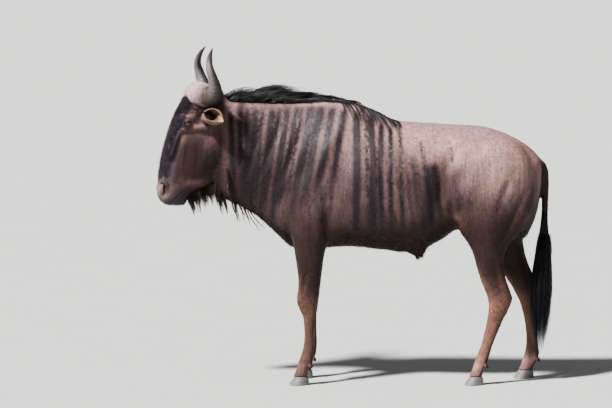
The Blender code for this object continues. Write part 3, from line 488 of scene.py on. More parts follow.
# Markings
# The skin's colours: grey-brown with a painted pink sheen and highlight above, and nearly black below, partly
# dark hair and partly painted shade, with dark upright streaks on neck, shoulder and ribs. The head's shadow
# is painted on the neck, shade in the flank's hollow and light on the legs' front faces. The bridge of the
# nose is black, the lids tan, and the shanks red-brown.
# A streak: x and z of its top, x and z of its foot, half width and strength.
STREAKS = (
    (-0.556, 1.235, -0.540, 0.860, 0.012, 0.80),
    (-0.520, 1.245, -0.508, 0.840, 0.011, 0.85),
    (-0.482, 1.250, -0.484, 0.800, 0.011, 0.90),
    (-0.443, 1.250, -0.466, 0.790, 0.014, 0.95),
    (-0.407, 1.250, -0.446, 0.810, 0.009, 0.85),
    (-0.371, 1.252, -0.420, 0.780, 0.013, 0.95),
    (-0.335, 1.252, -0.402, 0.800, 0.009, 0.90),
    (-0.302, 1.254, -0.374, 0.745, 0.013, 1.00),
    (-0.266, 1.256, -0.342, 0.810, 0.010, 0.95),
    (-0.232, 1.258, -0.302, 0.860, 0.008, 0.80),
    (-0.195, 1.258, -0.276, 0.810, 0.016, 1.00),
    (-0.152, 1.258, -0.236, 0.850, 0.017, 0.95),
    (-0.098, 1.256, -0.168, 0.880, 0.015, 0.85),
    (-0.044, 1.250, -0.106, 0.900, 0.015, 0.80),
    (0.007, 1.250, 0.006, 0.660, 0.013, 0.95),
    (0.040, 1.240, 0.047, 0.730, 0.007, 0.70),
    (0.072, 1.235, 0.074, 0.660, 0.014, 1.00),
    (0.114, 1.200, 0.112, 0.700, 0.010, 0.85),
    (0.156, 1.180, 0.160, 0.690, 0.011, 0.90),
    (0.200, 1.150, 0.206, 0.700, 0.009, 0.75),
    (0.248, 1.040, 0.276, 0.760, 0.009, 0.65),
    (0.290, 1.110, 0.322, 0.820, 0.007, 0.60),
    (0.345, 1.010, 0.320, 0.700, 0.026, 0.70),
    (0.412, 1.105, 0.430, 1.000, 0.005, 0.60),
)
# The line of the nose in the head's frame: height and x, from the lips up to the boss of the horns.
HEAD_FRONT = np.array([
    (0.805, -0.832), (0.842, -0.870), (0.896, -0.871), (0.968, -0.864), (1.058, -0.846), (1.148, -0.819),
    (1.216, -0.789), (1.288, -0.748), (1.332, -0.700),
])
# The dew claws' fronts: which side they are on, and x.
DEW_CLAWS = ((-1, -0.203), (-1, 0.581), (1, -0.189), (1, 0.829))
# The animal's middle line lies this far to the right of the middle of its box.
MIDDLE_Y = 0.008


def streaks_at(places, seed):
    total = np.zeros(len(places))
    for i, (top_x, top_z, foot_x, foot_z, half_width, strength) in enumerate(STREAKS):
        share = (top_z - places[:, 2]) / (top_z - foot_z)
        middle = top_x + (foot_x - top_x) * share + 0.006 * ripple(places * (0, 0, 1), 9, seed + i)
        width = half_width * (1.0 + 0.22 * ripple(places * (0, 0, 1), 11, seed + 40 + i))
        off = np.abs(places[:, 0] - middle) / width
        ends = step(share, -0.03, 0.10) * step(share, 1.28, 0.72)
        total = np.maximum(total, strength * step(off, 2.0, 0.0) * ends)
    return total


def markings(places, normals):
    """Two sets of three shares: streak, dark (dark hair and painted shade) and tan, then black face, light
    (painted sheen and lighter hair) and bare nose.
    """
    x, y, z = places.T
    on_face = in_head(places)
    face_x, face_y, _ = on_face.T
    wander = ripple(places, 16, 21)
    small = ripple(places, 60, 22)
    left = streaks_at(places, 100)
    right = streaks_at(places + (0.014, 0, 0), 300)
    streak = np.where(y < 0, left, right) * step(np.abs(y), 0.004, 0.03) * step(z, 0.62, 0.72)
    trunk = step(x, -0.60, -0.50)
    # Belly, thigh and upper limbs: partly dark hair, partly painted shade that darkens the body towards its
    # underside.
    belly = step(z + 0.025 * wander, 0.84, 0.66) * trunk * step(z, 0.50, 0.60)
    # Painted light: faces turned ahead, towards the key light, are less dark and more tan.
    lit_ahead = step(-normals[:, 0], 0.1, 0.9)
    thigh = step(z + 0.02 * wander, 0.88, 0.60) * step(z - 0.05 * wander - 0.10 * lit_ahead, 0.27, 0.50)
    limb = step(z + 0.03 * wander, 1.00, 0.66) * trunk * step(z, 0.42, 0.52)
    fore_limb = near(places, (-0.200, 0.700), (0.150, 0.220)) * 0.85
    haunch = near(places, (0.650, 0.660), (0.120, 0.240)) * 1.1
    # Painted highlight along the thigh's front edge, which takes darkness off it.
    lit_thigh_edge = 0.5 * from_line(places, (0.470, 0.700), (0.560, 0.480), 0.040)
    # Painted shadow of the head, cast on the neck behind it.
    painted_head_shadow = step(x + 0.25 * (z - 1.0), -0.30, -0.46) * (1 - step(x, -0.56, -0.60)) * 0.55
    dock = step(x, 0.800, 0.828) * step(np.abs(y - MIDDLE_Y), 0.050, 0.034) * step(z, 1.03, 0.98)
    seat = from_line(places, (0.800, 0.960), (0.770, 0.700), 0.030)
    # Painted shade in the hollow ahead of the flank fold.
    painted_flank_shade = 0.75 * near(places, (0.345, 0.860), (0.050, 0.120)) * step(x, 0.42, 0.39)
    shank_back = step(normals[:, 0], 0.15, 0.85) * step(z, 0.40, 0.30)
    claw = np.zeros(len(places))
    for side, line in DEW_CLAWS:
        claw = np.maximum(claw, (side * y > 0) * step(x - line, 0.0, 0.005) * step(x - line, 0.06, 0.05))

    shank = step(z - 0.04 * wander - 0.09 * lit_ahead, 0.52, 0.30)
    hock = hump(z, 0.36, 0.06) * step(x, 0.4, 0.5)
    knee = hump(z, 0.37, 0.05) * step(x, 0.0, -0.1) * 0.75
    rump_back = from_line(places, (0.700, 1.100), (0.830, 1.020), 0.040) * 0.5
    # Tan hair with a painted highlight along the lit edge of the stifle fold.
    stifle = from_line(places, (0.445, 0.765), (0.490, 0.690), 0.016) * 0.7
    tan = np.clip(np.maximum.reduce([
        shank * (0.55 + 0.25 * small + 0.3 * lit_ahead), hock, knee, rump_back,
        stifle * step(np.abs(y), 0.08, 0.12),
    ]), 0, 1)

    head = step(x, -0.575, -0.61)
    behind_bridge = face_x - np.interp(z, HEAD_FRONT[:, 0], HEAD_FRONT[:, 1])
    band = 0.060 - 0.020 * step(z, 1.10, 1.22)
    black = step(behind_bridge - 0.006 * wander - 0.003 * small, band + 0.012, band - 0.006)
    black *= step(z, 0.90, 0.935)
    chin = near(on_face, (-0.770, 0.835), (0.040, 0.040)) + near(on_face, (-0.800, 0.810), (0.050, 0.020))
    crown = step(z, 1.225, 1.255) * step(face_x, -0.735, -0.70)
    black = np.maximum(np.maximum(black, np.clip(chin, 0, 1)), crown) * head
    jaw_light = near(on_face, (-0.700, 0.905), (0.060, 0.022))
    temple = near(on_face, (-0.640, 1.090), (0.050, 0.045))
    cheek = head * step(behind_bridge, 0.05, 0.08) * step(z, 1.17, 1.07) * 0.97
    cheek *= 1 - 0.8 * np.clip(jaw_light, 0, 1)
    cheek *= 1 - 0.4 * temple
    rim, behind = from_nostril(on_face)
    crescent = hump(rim, 1.05, 0.30) * behind * head * step(np.abs(face_y), 0.018, 0.032)
    lips = 0.8 * near(on_face, (-0.812, 0.840), (0.036, 0.026)) * head
    patch = 0.9 * near(on_face, (-0.756, 1.118), (0.014, 0.026))
    patch = patch + 0.9 * near(on_face, (-0.741, 1.208), (0.024, 0.008))
    patch = patch + 0.5 * near(on_face, (-0.705, 1.165), (0.020, 0.022))
    patch = patch + 0.40 * near(on_face, (-0.700, 0.905), (0.05, 0.016))
    cheek_line = from_line(on_face, (-0.764, 1.12), (-0.775, 0.92), 0.012) * (0.50 + 0.2 * small)
    face_tan = np.clip(patch * (0.75 + 0.35 * small), 0, 1) * head * step(np.abs(face_y), 0.030, 0.050)
    tan = np.maximum(tan * (1 - head), face_tan)
    dark = np.maximum.reduce([
        belly * 0.95, thigh * 0.95, limb * (np.maximum(fore_limb, haunch) - lit_thigh_edge),
        painted_head_shadow * step(z, 1.26, 1.18), dock, 0.8 * seat, painted_flank_shade,
        (0.60 + 0.35 * step(np.abs(z - 0.112), 0.040, 0.020)) * shank_back,
        claw * step(np.abs(z - 0.100), 0.030, 0.022), cheek, crescent, lips,
    ]) * (1 - 0.85 * face_tan)

    # Painted sheen and highlight on the back, rump and crest, where the key light falls from above; the
    # pasterns, the cheek's edge and the temple are lighter in colour.
    back = step(z + 0.02 * wander, 0.93, 1.12) * (1 - head) * (0.75 + 0.2 * wander)
    back *= 1 - 0.55 * step(x + 0.15 * (z - 1.0), 0.0, -0.12)
    rump = step(x, 0.42, 0.55) * step(z, 0.78, 0.95) * 0.7
    crest_edge = step(z, 1.235, 1.262) * step(x, 0.02, -0.05) * step(np.abs(y - MIDDLE_Y), 0.010, 0.030)
    pastern = 0.9 * hump(z, 0.085, 0.030) * step(normals[:, 0], 0.7, 0.2)
    tan *= 1 - 0.75 * pastern
    face_sheen = np.maximum(cheek_line, 0.30 * temple * head) * head
    sheen = np.clip(np.maximum.reduce([back, rump, crest_edge, pastern, face_sheen]), 0, 1)
    bare = near(on_face, (-0.872, 0.882), (0.020, 0.028))
    bare = np.clip(bare + 0.25 * near(on_face, (-0.840, 0.845), (0.030, 0.020)), 0, 1) * head
    black = black * (1 - bare)
    first = np.stack([streak * (1 - head), dark, tan], axis=1)
    second = np.stack([black, sheen, bare], axis=1)
    return np.clip(first, 0, 1), np.clip(second, 0, 1)


def paint_layer(obj, name, shares):
    """Three shares at each point of a mesh, stored as a colour."""
    layer = obj.data.color_attributes.new(name, "FLOAT_COLOR", "POINT")
    layer.data.foreach_set("color", np.insert(shares, 3, 1.0, axis=1).ravel())


def paint(obj, first, second):
    paint_layer(obj, "marks", first)
    paint_layer(obj, "face_marks", second)


def coat_finish(name, tufted):
    """Short fur: the markings' colours, streaked along the lie of the hair, with a soft sheen, and with
    painted sheen and shade in its colours.
    """
    recipe = Recipe(name)
    marks, face = recipe.layer("marks", "Color"), recipe.layer("face_marks", "Color")
    broad = recipe.noise(8, 4)
    fine = recipe.noise(1.0, 4, 0.62, recipe.stretched((115, 90, 16)))
    hairs = recipe.noise(1.0, 2, 0.7, recipe.stretched((520, 420, 70)))
    tone = recipe.span(fine * 0.5 + broad * 0.5, 0.38, 0.62)
    brindle = recipe.span(recipe.noise(1.0, 3, 0.5, recipe.stretched((62, 40, 5))), 0.40, 0.62)
    colour = recipe.blend(tone, (0.042, 0.025, 0.025), (0.094, 0.056, 0.054))
    # Painted sheen: back, rump and crest are lighter and pinker where the key light falls; the pasterns and
    # cheek edge share this lighter colour.
    sheen = recipe.channel(face, 1) * (0.35 + fine * 0.75 + brindle * 0.30)
    colour = recipe.blend(sheen, colour, (0.360, 0.222, 0.206))
    tan = recipe.channel(marks, 2)
    colour = recipe.blend(tan * (0.7 + fine * 0.5), colour, (0.205, 0.100, 0.070))
    # Near-black for dark hair, and for painted shade low on the body, on the neck behind the head and in the
    # flank's hollow.
    dark = recipe.channel(marks, 1)
    colour = recipe.blend(dark * (0.8 + fine * 0.35), colour, (0.024, 0.012, 0.010))
    streak = recipe.span(recipe.channel(marks, 0) + (fine - 0.5) * 0.5, 0.10, 0.66)
    colour = recipe.blend(streak * 0.96, colour, (0.016, 0.010, 0.013))
    black = recipe.channel(face, 0)
    colour = recipe.blend(black * (0.80 + fine * 0.3), colour, (0.042, 0.031, 0.041))
    bare = recipe.channel(face, 2)
    colour = recipe.blend(bare, colour, (0.230, 0.160, 0.158))
    shade = recipe.span(hairs, 0.3, 0.7, 0.72, 1.28)
    if tufted:
        shade = shade * recipe.span(recipe.layer("tone"), 0.0, 1.0, 0.75, 1.30)
    colour = recipe.scaled(colour, shade)
    rough = recipe.span(fine, 0.3, 0.7, 0.42, 0.60) - bare * 0.1
    recipe.put(recipe.shader.inputs["Specular IOR Level"], 0.22)
    return recipe.finish(colour, rough, None if tufted else fine * 0.5 + hairs * 0.5, 0.0022, 0.5)


skin.data.materials.append(coat_finish("hide", False))
paint(skin, *markings(points_of(skin), points_of(skin, "normal")))
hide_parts(*FLESH)
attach(skin, "root")

# The skin's map is an unwrap of its own shape.
choose(skin)
skin.data.uv_layers.new(name="OFBake")
bpy.ops.object.mode_set(mode="EDIT")
bpy.ops.mesh.select_all(action="SELECT")
bpy.ops.uv.smart_project(angle_limit=math.radians(66), island_margin=0.002)
bpy.ops.object.mode_set(mode="OBJECT")

# Short coat
# Glossy hairs of about a centimetre that lie flat and point back and down, in small tufts over the skin.
# They are shorter on the face and feet, and stand out a little along the belly and under the neck.
# Each piece of it: how many tufts, and where they grow.
COATS = {
    "coat_left": (44000, lambda x, y, z: step(x, -0.30, -0.28) * step(z, 0.52, 0.56) * (y < 0)),
    "coat_right": (44000, lambda x, y, z: step(x, -0.30, -0.28) * step(z, 0.52, 0.56) * (y >= 0)),
    "coat_neck": (36000, lambda x, y, z: step(x, -0.28, -0.30) * step(z, 0.50, 0.56) * (x > -0.60)),
    "coat_head": (36000, lambda x, y, z: (x <= -0.60) * 1.0),
    "coat_legs": (40000, lambda x, y, z: step(z, 0.56, 0.52)),
}
# Every hair and tuft gets a patch of the skin's map this large, at its root.
PATCH = 0.003


def unit(ways):
    return ways / np.maximum(np.linalg.norm(ways, axis=-1, keepdims=True), 1e-9)


class Ground:
    """The skin as somewhere for hair to grow: its triangles, with areas, normals and map places."""

    def __init__(self, obj):
        mesh = obj.data
        mesh.calc_loop_triangles()
        count = len(mesh.loop_triangles)
        corners = np.empty(count * 3, dtype=np.int64)
        mesh.loop_triangles.foreach_get("vertices", corners)
        self.corners = corners.reshape(-1, 3)
        loops = np.empty(count * 3, dtype=np.int64)
        mesh.loop_triangles.foreach_get("loops", loops)
        self.loops = loops.reshape(-1, 3)
        self.areas = np.empty(count)
        mesh.loop_triangles.foreach_get("area", self.areas)
        self.places = points_of(obj)
        self.normals = points_of(obj, "normal")
        chart = np.empty(len(mesh.loops) * 2)
        mesh.uv_layers["OFBake"].data.foreach_get("uv", chart)
        self.chart = chart.reshape(-1, 2)
        self.middles = self.places[self.corners].mean(axis=1)
        self.tree = BVHTree.FromObject(obj, bpy.context.evaluated_depsgraph_get())

    def roots(self, count, density, draw):
        """Places, normals and map places of that many roots, crowded where density is high."""
        weight = self.areas * np.clip(density(*self.middles.T), 0, None)
        chosen = draw.choice(len(weight), size=count, p=weight / weight.sum())
        share = draw.dirichlet((1, 1, 1), size=count)[:, :, None]
        corners = self.corners[chosen]
        loops = self.loops[chosen]
        places = (self.places[corners] * share).sum(axis=1)
        normals = unit((self.normals[corners] * share).sum(axis=1))
        return places, normals, (self.chart[loops] * share).sum(axis=1)

    def under(self, places):
        """Where each place would root: the nearest skin, its normal and its place on the map."""
        found = []
        for place in places:
            spot, normal, face, _ = self.tree.find_nearest(Vector(place))
            found.append((*spot, *normal, *self.chart[self.loops[min(face, len(self.loops) - 1)][0]]))
        found = np.array(found)
        return found[:, :3], found[:, 3:6], found[:, 6:]

    def cleared(self, path, distance):
        """A path moved out along the skin's normal where it lies nearer than that distance."""
        for k in range(1, len(path)):
            spot, normal, _, _ = self.tree.find_nearest(Vector(path[k]))
            normal = np.array(normal)
            height = (path[k] - np.array(spot)) @ normal
            if height < distance:
                path[k] = path[k] + normal * (distance - height)
        return path


ground = Ground(skin)


def float_layer(mesh, name, values):
    mesh.attributes.new(name, "FLOAT", "POINT").data.foreach_set("value", values)


def hair(name, paths, widths, charts, upward, flatness=0.4, belly=0.35):
    """Hairs as closed, three-sided, tapering blades along paths (hair, point, xyz), as one mesh."""
    count, length = paths.shape[:2]
    ways = unit(np.gradient(paths, axis=1))
    side = unit(np.cross(ways, upward[:, None, :]))
    lift = np.cross(side, ways)
    share = np.linspace(0, 1, length)
    taper = (1 - share ** 2.2) * (1 - belly + belly * np.sin(np.pi * np.minimum(1, share + 0.3)))
    reach = (widths[:, None] * taper[None, :] / 2)[..., None]
    rings = np.stack([
        paths + side * reach,
        paths + lift * reach * flatness * 2,
        paths - side * reach,
    ], axis=2)[:, :-1]
    body = rings.reshape(count, -1, 3)
    places = np.concatenate([body, paths[:, -1:]], axis=1)
    per_hair = places.shape[1]
    faces = [(2, 1, 0)]
    for k in range(length - 2):
        for a in range(3):
            b = (a + 1) % 3
            low, high = 3 * k, 3 * k + 3
            faces += [(low + a, low + b, high + b), (low + a, high + b, high + a)]
    last = 3 * (length - 2)
    faces += [(last + a, last + (a + 1) % 3, per_hair - 1) for a in range(3)]
    faces = (np.array(faces)[None] + (np.arange(count) * per_hair)[:, None, None]).reshape(-1, 3)
    mesh = bpy.data.meshes.new(name)
    mesh.vertices.add(count * per_hair)
    mesh.vertices.foreach_set("co", places.ravel())
    mesh.loops.add(faces.size)
    mesh.loops.foreach_set("vertex_index", faces.ravel())
    mesh.polygons.add(len(faces))
    mesh.polygons.foreach_set("loop_start", np.arange(0, faces.size, 3))
    mesh.update(calc_edges=True)
    across = np.append(np.tile([-0.5, 0.0, 0.5], length - 1), 0.0)
    along = np.append(np.repeat(share[:-1], 3), 1.0)
    chart = charts[:, None, :] + np.stack([across * PATCH, along * PATCH], axis=1)[None]
    chart = np.clip(chart, 0, 1).reshape(-1, 2)[faces.ravel()]
    mesh.uv_layers.new(name="OFBake").data.foreach_set("uv", chart.ravel())
    own = np.random.default_rng(count).uniform(0, 1, count)
    float_layer(mesh, "tone", np.repeat(own, per_hair))
    float_layer(mesh, "along", np.tile(along, count))
    made = object_from(name, mesh)
    made.data.polygons.foreach_set("use_smooth", np.ones(len(faces), dtype=bool))
    return made, np.repeat(np.arange(count), per_hair)


def lie_of_coat(places, normals):
    """Which way short hair points: back and down on the body, down on legs, along the nose on the face."""
    x, z = places[:, 0], places[:, 2]
    ways = np.zeros_like(places)
    leg = step(z, 0.62, 0.5)
    head = step(x, -0.56, -0.64)
    ways[:, 0] = 0.75 - 0.6 * leg - 0.40 * head
    ways[:, 2] = -0.60 - 0.5 * leg - 0.3 * head
    ways += 0.14 * np.stack([ripple(places, 24, seed) for seed in (61, 62, 63)], axis=1)
    ways -= normals * (ways * normals).sum(axis=1)[:, None]
    return unit(ways)


def short_hair(name, count, density, shortest, longest, wide, rise):
    """A piece of short coat where density is high: lengths, width and how far its tips rise."""
    draw = np.random.default_rng(len(name) + count)
    places, normals, charts = ground.roots(count, density, draw)
    ways = unit(lie_of_coat(places, normals) + draw.normal(0, 0.09, places.shape))
    small = np.maximum(step(places[:, 0], -0.60, -0.72), step(places[:, 2], 0.30, 0.12))
    loose = step(normals[:, 2], -0.35, -0.80) * step(places[:, 2], 0.45, 0.55)
    lengths = draw.uniform(shortest, longest, count) * (1 - 0.5 * small) * (1 + 0.8 * loose)
    share = np.array([0, 1.0])[None, :, None]
    tip_lift = rise + 0.004 * loose + draw.uniform(0, 0.8 * rise, count)
    lift = np.stack([np.full(count, -0.0012), tip_lift], axis=1)[:, :, None]
    paths = places[:, None] + ways[:, None] * lengths[:, None, None] * share + normals[:, None] * lift
    widths = draw.uniform(0.7, 1.25, count) * wide * (1 - 0.3 * small)
    coat, owner = hair(name, paths, widths, charts, normals, 0.25)
    first, second = markings(places, normals)
    paint(coat, first[owner], second[owner])
    coat.data.materials.append(coat_finish(name, True))
    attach(coat, "root")


for coat_name, (tufts, density) in COATS.items():
    short_hair(coat_name, tufts, density, 0.009, 0.014, 0.0014, 0.0010)

# Coarse face hair
# Black bristles grow along the bridge of the nose and round the foot of the horns' boss.
# They are two or three times as long as the short coat, and stand off the skin a little.
def on_bridge(x, y, z):
    face_x = in_head(np.stack([x, y, z], axis=1))[:, 0]
    front = np.interp(z, HEAD_FRONT[:, 0], HEAD_FRONT[:, 1])
    band = step(face_x - front, 0.050, 0.030) * step(z, 0.92, 0.96)
    under_boss = step(z, 1.215, 1.235) * step(face_x, -0.58, -0.60)
    return (band + 1.6 * under_boss) * (x < -0.58)


short_hair("nose_bristles", 15000, on_bridge, 0.030, 0.054, 0.0017, 0.0045)

# Eyes
# Each eye is a dark brown ball with a long level pupil and a wet, clear front.
# It sits in the skin's socket, and the lids hold it.
PUPIL = (0.0062, 0.0024)
BULGE = 0.055
for side_name, side in (("left", -1), ("right", 1)):
    centre = from_head(((EYE[0], side * EYE[1], EYE[2]),))[0]
    bpy.ops.object.select_all(action="DESELECT")
    bpy.ops.mesh.primitive_uv_sphere_add(segments=64, ring_count=40, radius=EYE_RADIUS)
    eye = bpy.context.active_object
    eye.name = f"eyeball_{side_name}"
    outward = Vector((side * math.sin(HEAD_TURN), side * math.cos(HEAD_TURN), 0.0))
    eye.data.transform(outward.to_track_quat("Z", "Y").to_matrix().to_4x4())
    places = points_of(eye)
    towards = unit(places) @ np.array(outward)
    places *= (1 + BULGE * step(towards, 0.82, 0.97))[:, None]
    move_points(eye, places + centre)
    bpy.ops.object.shade_smooth()
    recipe = Recipe(f"eye_{side_name}_ball")
    mapped = recipe.node("ShaderNodeMapping", inputs={"Vector": recipe.place(), "Location": tuple(-centre)})
    x, z = (recipe.node("ShaderNodeSeparateXYZ", inputs={0: mapped}, output=axis) for axis in ("X", "Z"))
    pupil = (x / PUPIL[0]) ** 2.0 + (z / PUPIL[1]) ** 2.0
    iris = x ** 2.0 + z ** 2.0
    grain = recipe.noise(420, 3)
    colour = recipe.blend(recipe.span(iris, 0.00007, 0.00013), (0.028, 0.013, 0.007), (0.012, 0.007, 0.006))
    colour = recipe.blend(grain * 0.4, colour, (0.030, 0.014, 0.007))
    colour = recipe.blend(recipe.span(pupil, 0.8, 1.3), (0.002, 0.002, 0.003), colour)
    recipe.put(recipe.shader.inputs["Coat Weight"], 0.45)
    recipe.put(recipe.shader.inputs["Coat Roughness"], 0.03)
    eye.data.materials.append(recipe.finish(colour, recipe.span(grain, 0.3, 0.7, 0.10, 0.16)))
    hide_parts(f"eye_{side_name}")
    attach(eye, "root")

# Horns
# Solid horn over bone: a rough, low, fibrous boss across the brow, and from it a smooth horn that curves out,
# up and in to a dark point. Growth ridges cross its lower half.
# In the head's frame, from the brow to the tip: x, distance from the middle, height and radius.
HORN_PATH = np.array([
    (-0.680, 0.000, 1.298, 0.056), (-0.676, 0.045, 1.300, 0.055), (-0.655, 0.100, 1.296, 0.046),
    (-0.636, 0.148, 1.304, 0.037), (-0.634, 0.183, 1.338, 0.0285), (-0.648, 0.197, 1.388, 0.0215),
    (-0.659, 0.187, 1.432, 0.0165), (-0.652, 0.152, 1.476, 0.0105), (-0.633, 0.108, 1.511, 0.0018),
])
HORN_RINGS = 120
# Half the gap between the two horns at the middle of the brow.
HORN_GAP = 0.0004
HORN_LIT_FROM = np.array([-0.75, -0.66, 0.0])


def smooth_rows(rows, count):
    """That many rows on a smooth curve through the given ones."""
    padded = np.concatenate([rows[:1], rows, rows[-1:]])
    made = []
    for at in np.linspace(0, len(rows) - 1.000001, count):
        k = int(at)
        t = at - k
        a, b, c, d = padded[k:k + 4]
        made.append(0.5 * (2 * b + (c - a) * t + (2 * a - 5 * b + 4 * c - d) * t ** 2
                           + (3 * b - a - 3 * c + d) * t ** 3))
    return np.array(made)


def horn_finish(name):
    recipe = Recipe(name)
    along = recipe.layer("along")
    fibres = recipe.noise(1.0, 4, 0.65, recipe.stretched((230, 90, 60)))
    pits = recipe.noise(260, 3, 0.6)
    broad = recipe.noise(30, 4)
    ridges = recipe.sine(along * 150 + broad * 5)
    boss = recipe.span(along, 0.16, 0.34, 1.0, 0.0)
    # Painted reflection: above its base, the side of each horn that faces the light is lavender-grey.
    front = recipe.layer("front")
    lit = front * recipe.span(along, 0.38, 0.52)
    shaft = recipe.blend(lit, (0.034, 0.022, 0.021), (0.135, 0.116, 0.130))
    colour = recipe.blend(recipe.span(along, 0.14, 0.30), (0.520, 0.350, 0.335), shaft)
    colour = recipe.blend(recipe.span(along, 0.72, 0.95), colour, (0.022, 0.017, 0.019))
    colour = recipe.blend(recipe.span(fibres, 0.42, 0.62, 0.0, 0.6), colour, (0.060, 0.040, 0.038))
    colour = recipe.blend(recipe.span(pits, 0.54, 0.66) * boss * 0.7, colour, (0.060, 0.038, 0.034))
    height = fibres * 0.5 + pits * boss * 0.8 + ridges * recipe.span(along, 0.30, 0.60, 0.10, 0.0)
    rough = recipe.span(fibres, 0.3, 0.7, 0.38, 0.60) + boss * 0.12
    return recipe.finish(colour, rough, height, 0.0040, 0.9)


for side_name, side in (("left", -1), ("right", 1)):
    rows = smooth_rows(HORN_PATH, HORN_RINGS)
    line = bpy.data.curves.new("horn_line", "CURVE")
    line.dimensions = "3D"
    line.bevel_depth = 1.0
    line.bevel_resolution = 10
    line.use_fill_caps = True
    spline = line.splines.new("POLY")
    spline.points.add(HORN_RINGS - 1)
    spots = from_head(rows[:, :3] * (1, side, 1))
    for point, spot, radius in zip(spline.points, spots, rows[:, 3]):
        point.co = (*spot, 1)
        point.radius = radius
    choose(object_from("horn_line", line))
    bpy.ops.object.convert(target="MESH")
    horn = bpy.context.active_object
    horn.name = f"horn_shell_{side_name}"
    form = bmesh.new()
    form.from_mesh(horn.data)
    bmesh.ops.remove_doubles(form, verts=form.verts, dist=0.00005)
    bmesh.ops.recalc_face_normals(form, faces=form.faces)
    split_wide(form)
    form.to_mesh(horn.data)
    form.free()
    places = points_of(horn)
    order = np.linalg.norm(places[:, None] - spots[None], axis=2).argmin(axis=1)
    share = order / (HORN_RINGS - 1)
    axis_off = places - spots[order]
    front = np.array([-math.cos(HEAD_TURN), -math.sin(HEAD_TURN), 0.0])
    longer = (0.16 * (1 - np.minimum(1, share / 0.4)))[:, None]
    places += front * (axis_off @ front)[:, None] * longer
    normals = points_of(horn, "normal")
    lumps = 0.0026 * ripple(places, 90, 70) + 0.0016 * ripple(places * (0.5, 1, 1), 300, 71)
    ridges = 0.0008 * np.sin(share * 170 + 2 * ripple(places, 30, 72))
    ridges = ridges * step(share, 0.68, 0.50) * step(share, 0.18, 0.28)
    swell = lumps * step(share, 0.42, 0.22) + ridges
    places += normals * swell[:, None]
    own = in_head(places)
    own[:, 1] = np.where(side * own[:, 1] < HORN_GAP, side * HORN_GAP, own[:, 1])
    move_points(horn, from_head(own))
    float_layer(horn.data, "along", share)
    # How far each point faces the light, for the painted reflection.
    float_layer(horn.data, "front", step(points_of(horn, "normal") @ unit(HORN_LIT_FROM), 0.35, 0.95))
    bpy.ops.object.shade_smooth()
    horn.data.materials.append(horn_finish(f"horn_{side_name}_finish"))
    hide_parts(f"horn_{side_name}")
    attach(horn, "root")

# Ears
# Each is a leaf of gristle under thin fur, rolled to a tube at its root and open ahead.
# It is tan outside, with painted shade that darkens its depth, and has cream hairs from its rims.
EAR_ROOT = np.array([-0.659, 0.078, 1.206])
EAR_WAY = np.array([0.22, 0.97, 0.08])
EAR_FACING = np.array([-0.75, 0.10, 0.65])
EAR_LENGTH = 0.128
EAR_WALL = 0.0026
EAR_HAIRS = 1100
# Distance along, radius of the roll, and half the angle by which it is open.
EAR_ROLL = np.array([
    (0.00, 0.024, 0.10), (0.15, 0.028, 0.15), (0.30, 0.031, 0.30), (0.45, 0.034, 0.60), (0.60, 0.034, 0.95),
    (0.75, 0.029, 1.25), (0.88, 0.021, 1.40), (0.96, 0.012, 1.45), (1.00, 0.004, 1.60),
])


def ear_finish(name):
    recipe = Recipe(name)
    marks = recipe.layer("ear_marks", "Color")
    fine = recipe.noise(1.0, 4, 0.6, recipe.stretched((160, 160, 160)))
    colour = recipe.blend(fine, (0.085, 0.043, 0.028), (0.200, 0.110, 0.070))
    colour = recipe.blend(recipe.channel(marks, 0), colour, (0.300, 0.205, 0.135))
    # Painted shade in the depth of the roll.
    colour = recipe.blend(recipe.channel(marks, 1), colour, (0.095, 0.058, 0.040))
    return recipe.finish(colour, recipe.span(fine, 0.3, 0.7, 0.55, 0.75), fine, 0.0012, 0.5)


ear_way = unit(EAR_WAY)
ear_facing = unit(EAR_FACING - ear_way * (EAR_FACING @ ear_way))
ear_across = np.cross(ear_way, ear_facing)


def ear_radius(along):
    return np.interp(along, EAR_ROLL[:, 0], EAR_ROLL[:, 1])


def ear_turn(along):
    """How far round each rim is from the closed side."""
    return math.pi - np.interp(along, EAR_ROLL[:, 0], EAR_ROLL[:, 2])


def ear_drift(along):
    """How far the middle of the roll moves back, so that its closed side stays straight to the tip."""
    radius = ear_radius(along)
    return (EAR_ROLL[:, 1].max() - radius) * step(along, 0.45, 0.55) + 0.008 * step(along, 0.4, 1.0)


def on_ear(along, turn, radius, deep, wide):
    """Places on the roll, at a share of its length and an angle from its closed side."""
    spots = EAR_ROOT + ear_way * (EAR_LENGTH * along)[:, None]
    spots = spots - ear_facing * (radius * np.cos(turn) * deep + ear_drift(along))[:, None]
    return spots + ear_across * (radius * np.sin(turn) * wide)[:, None]


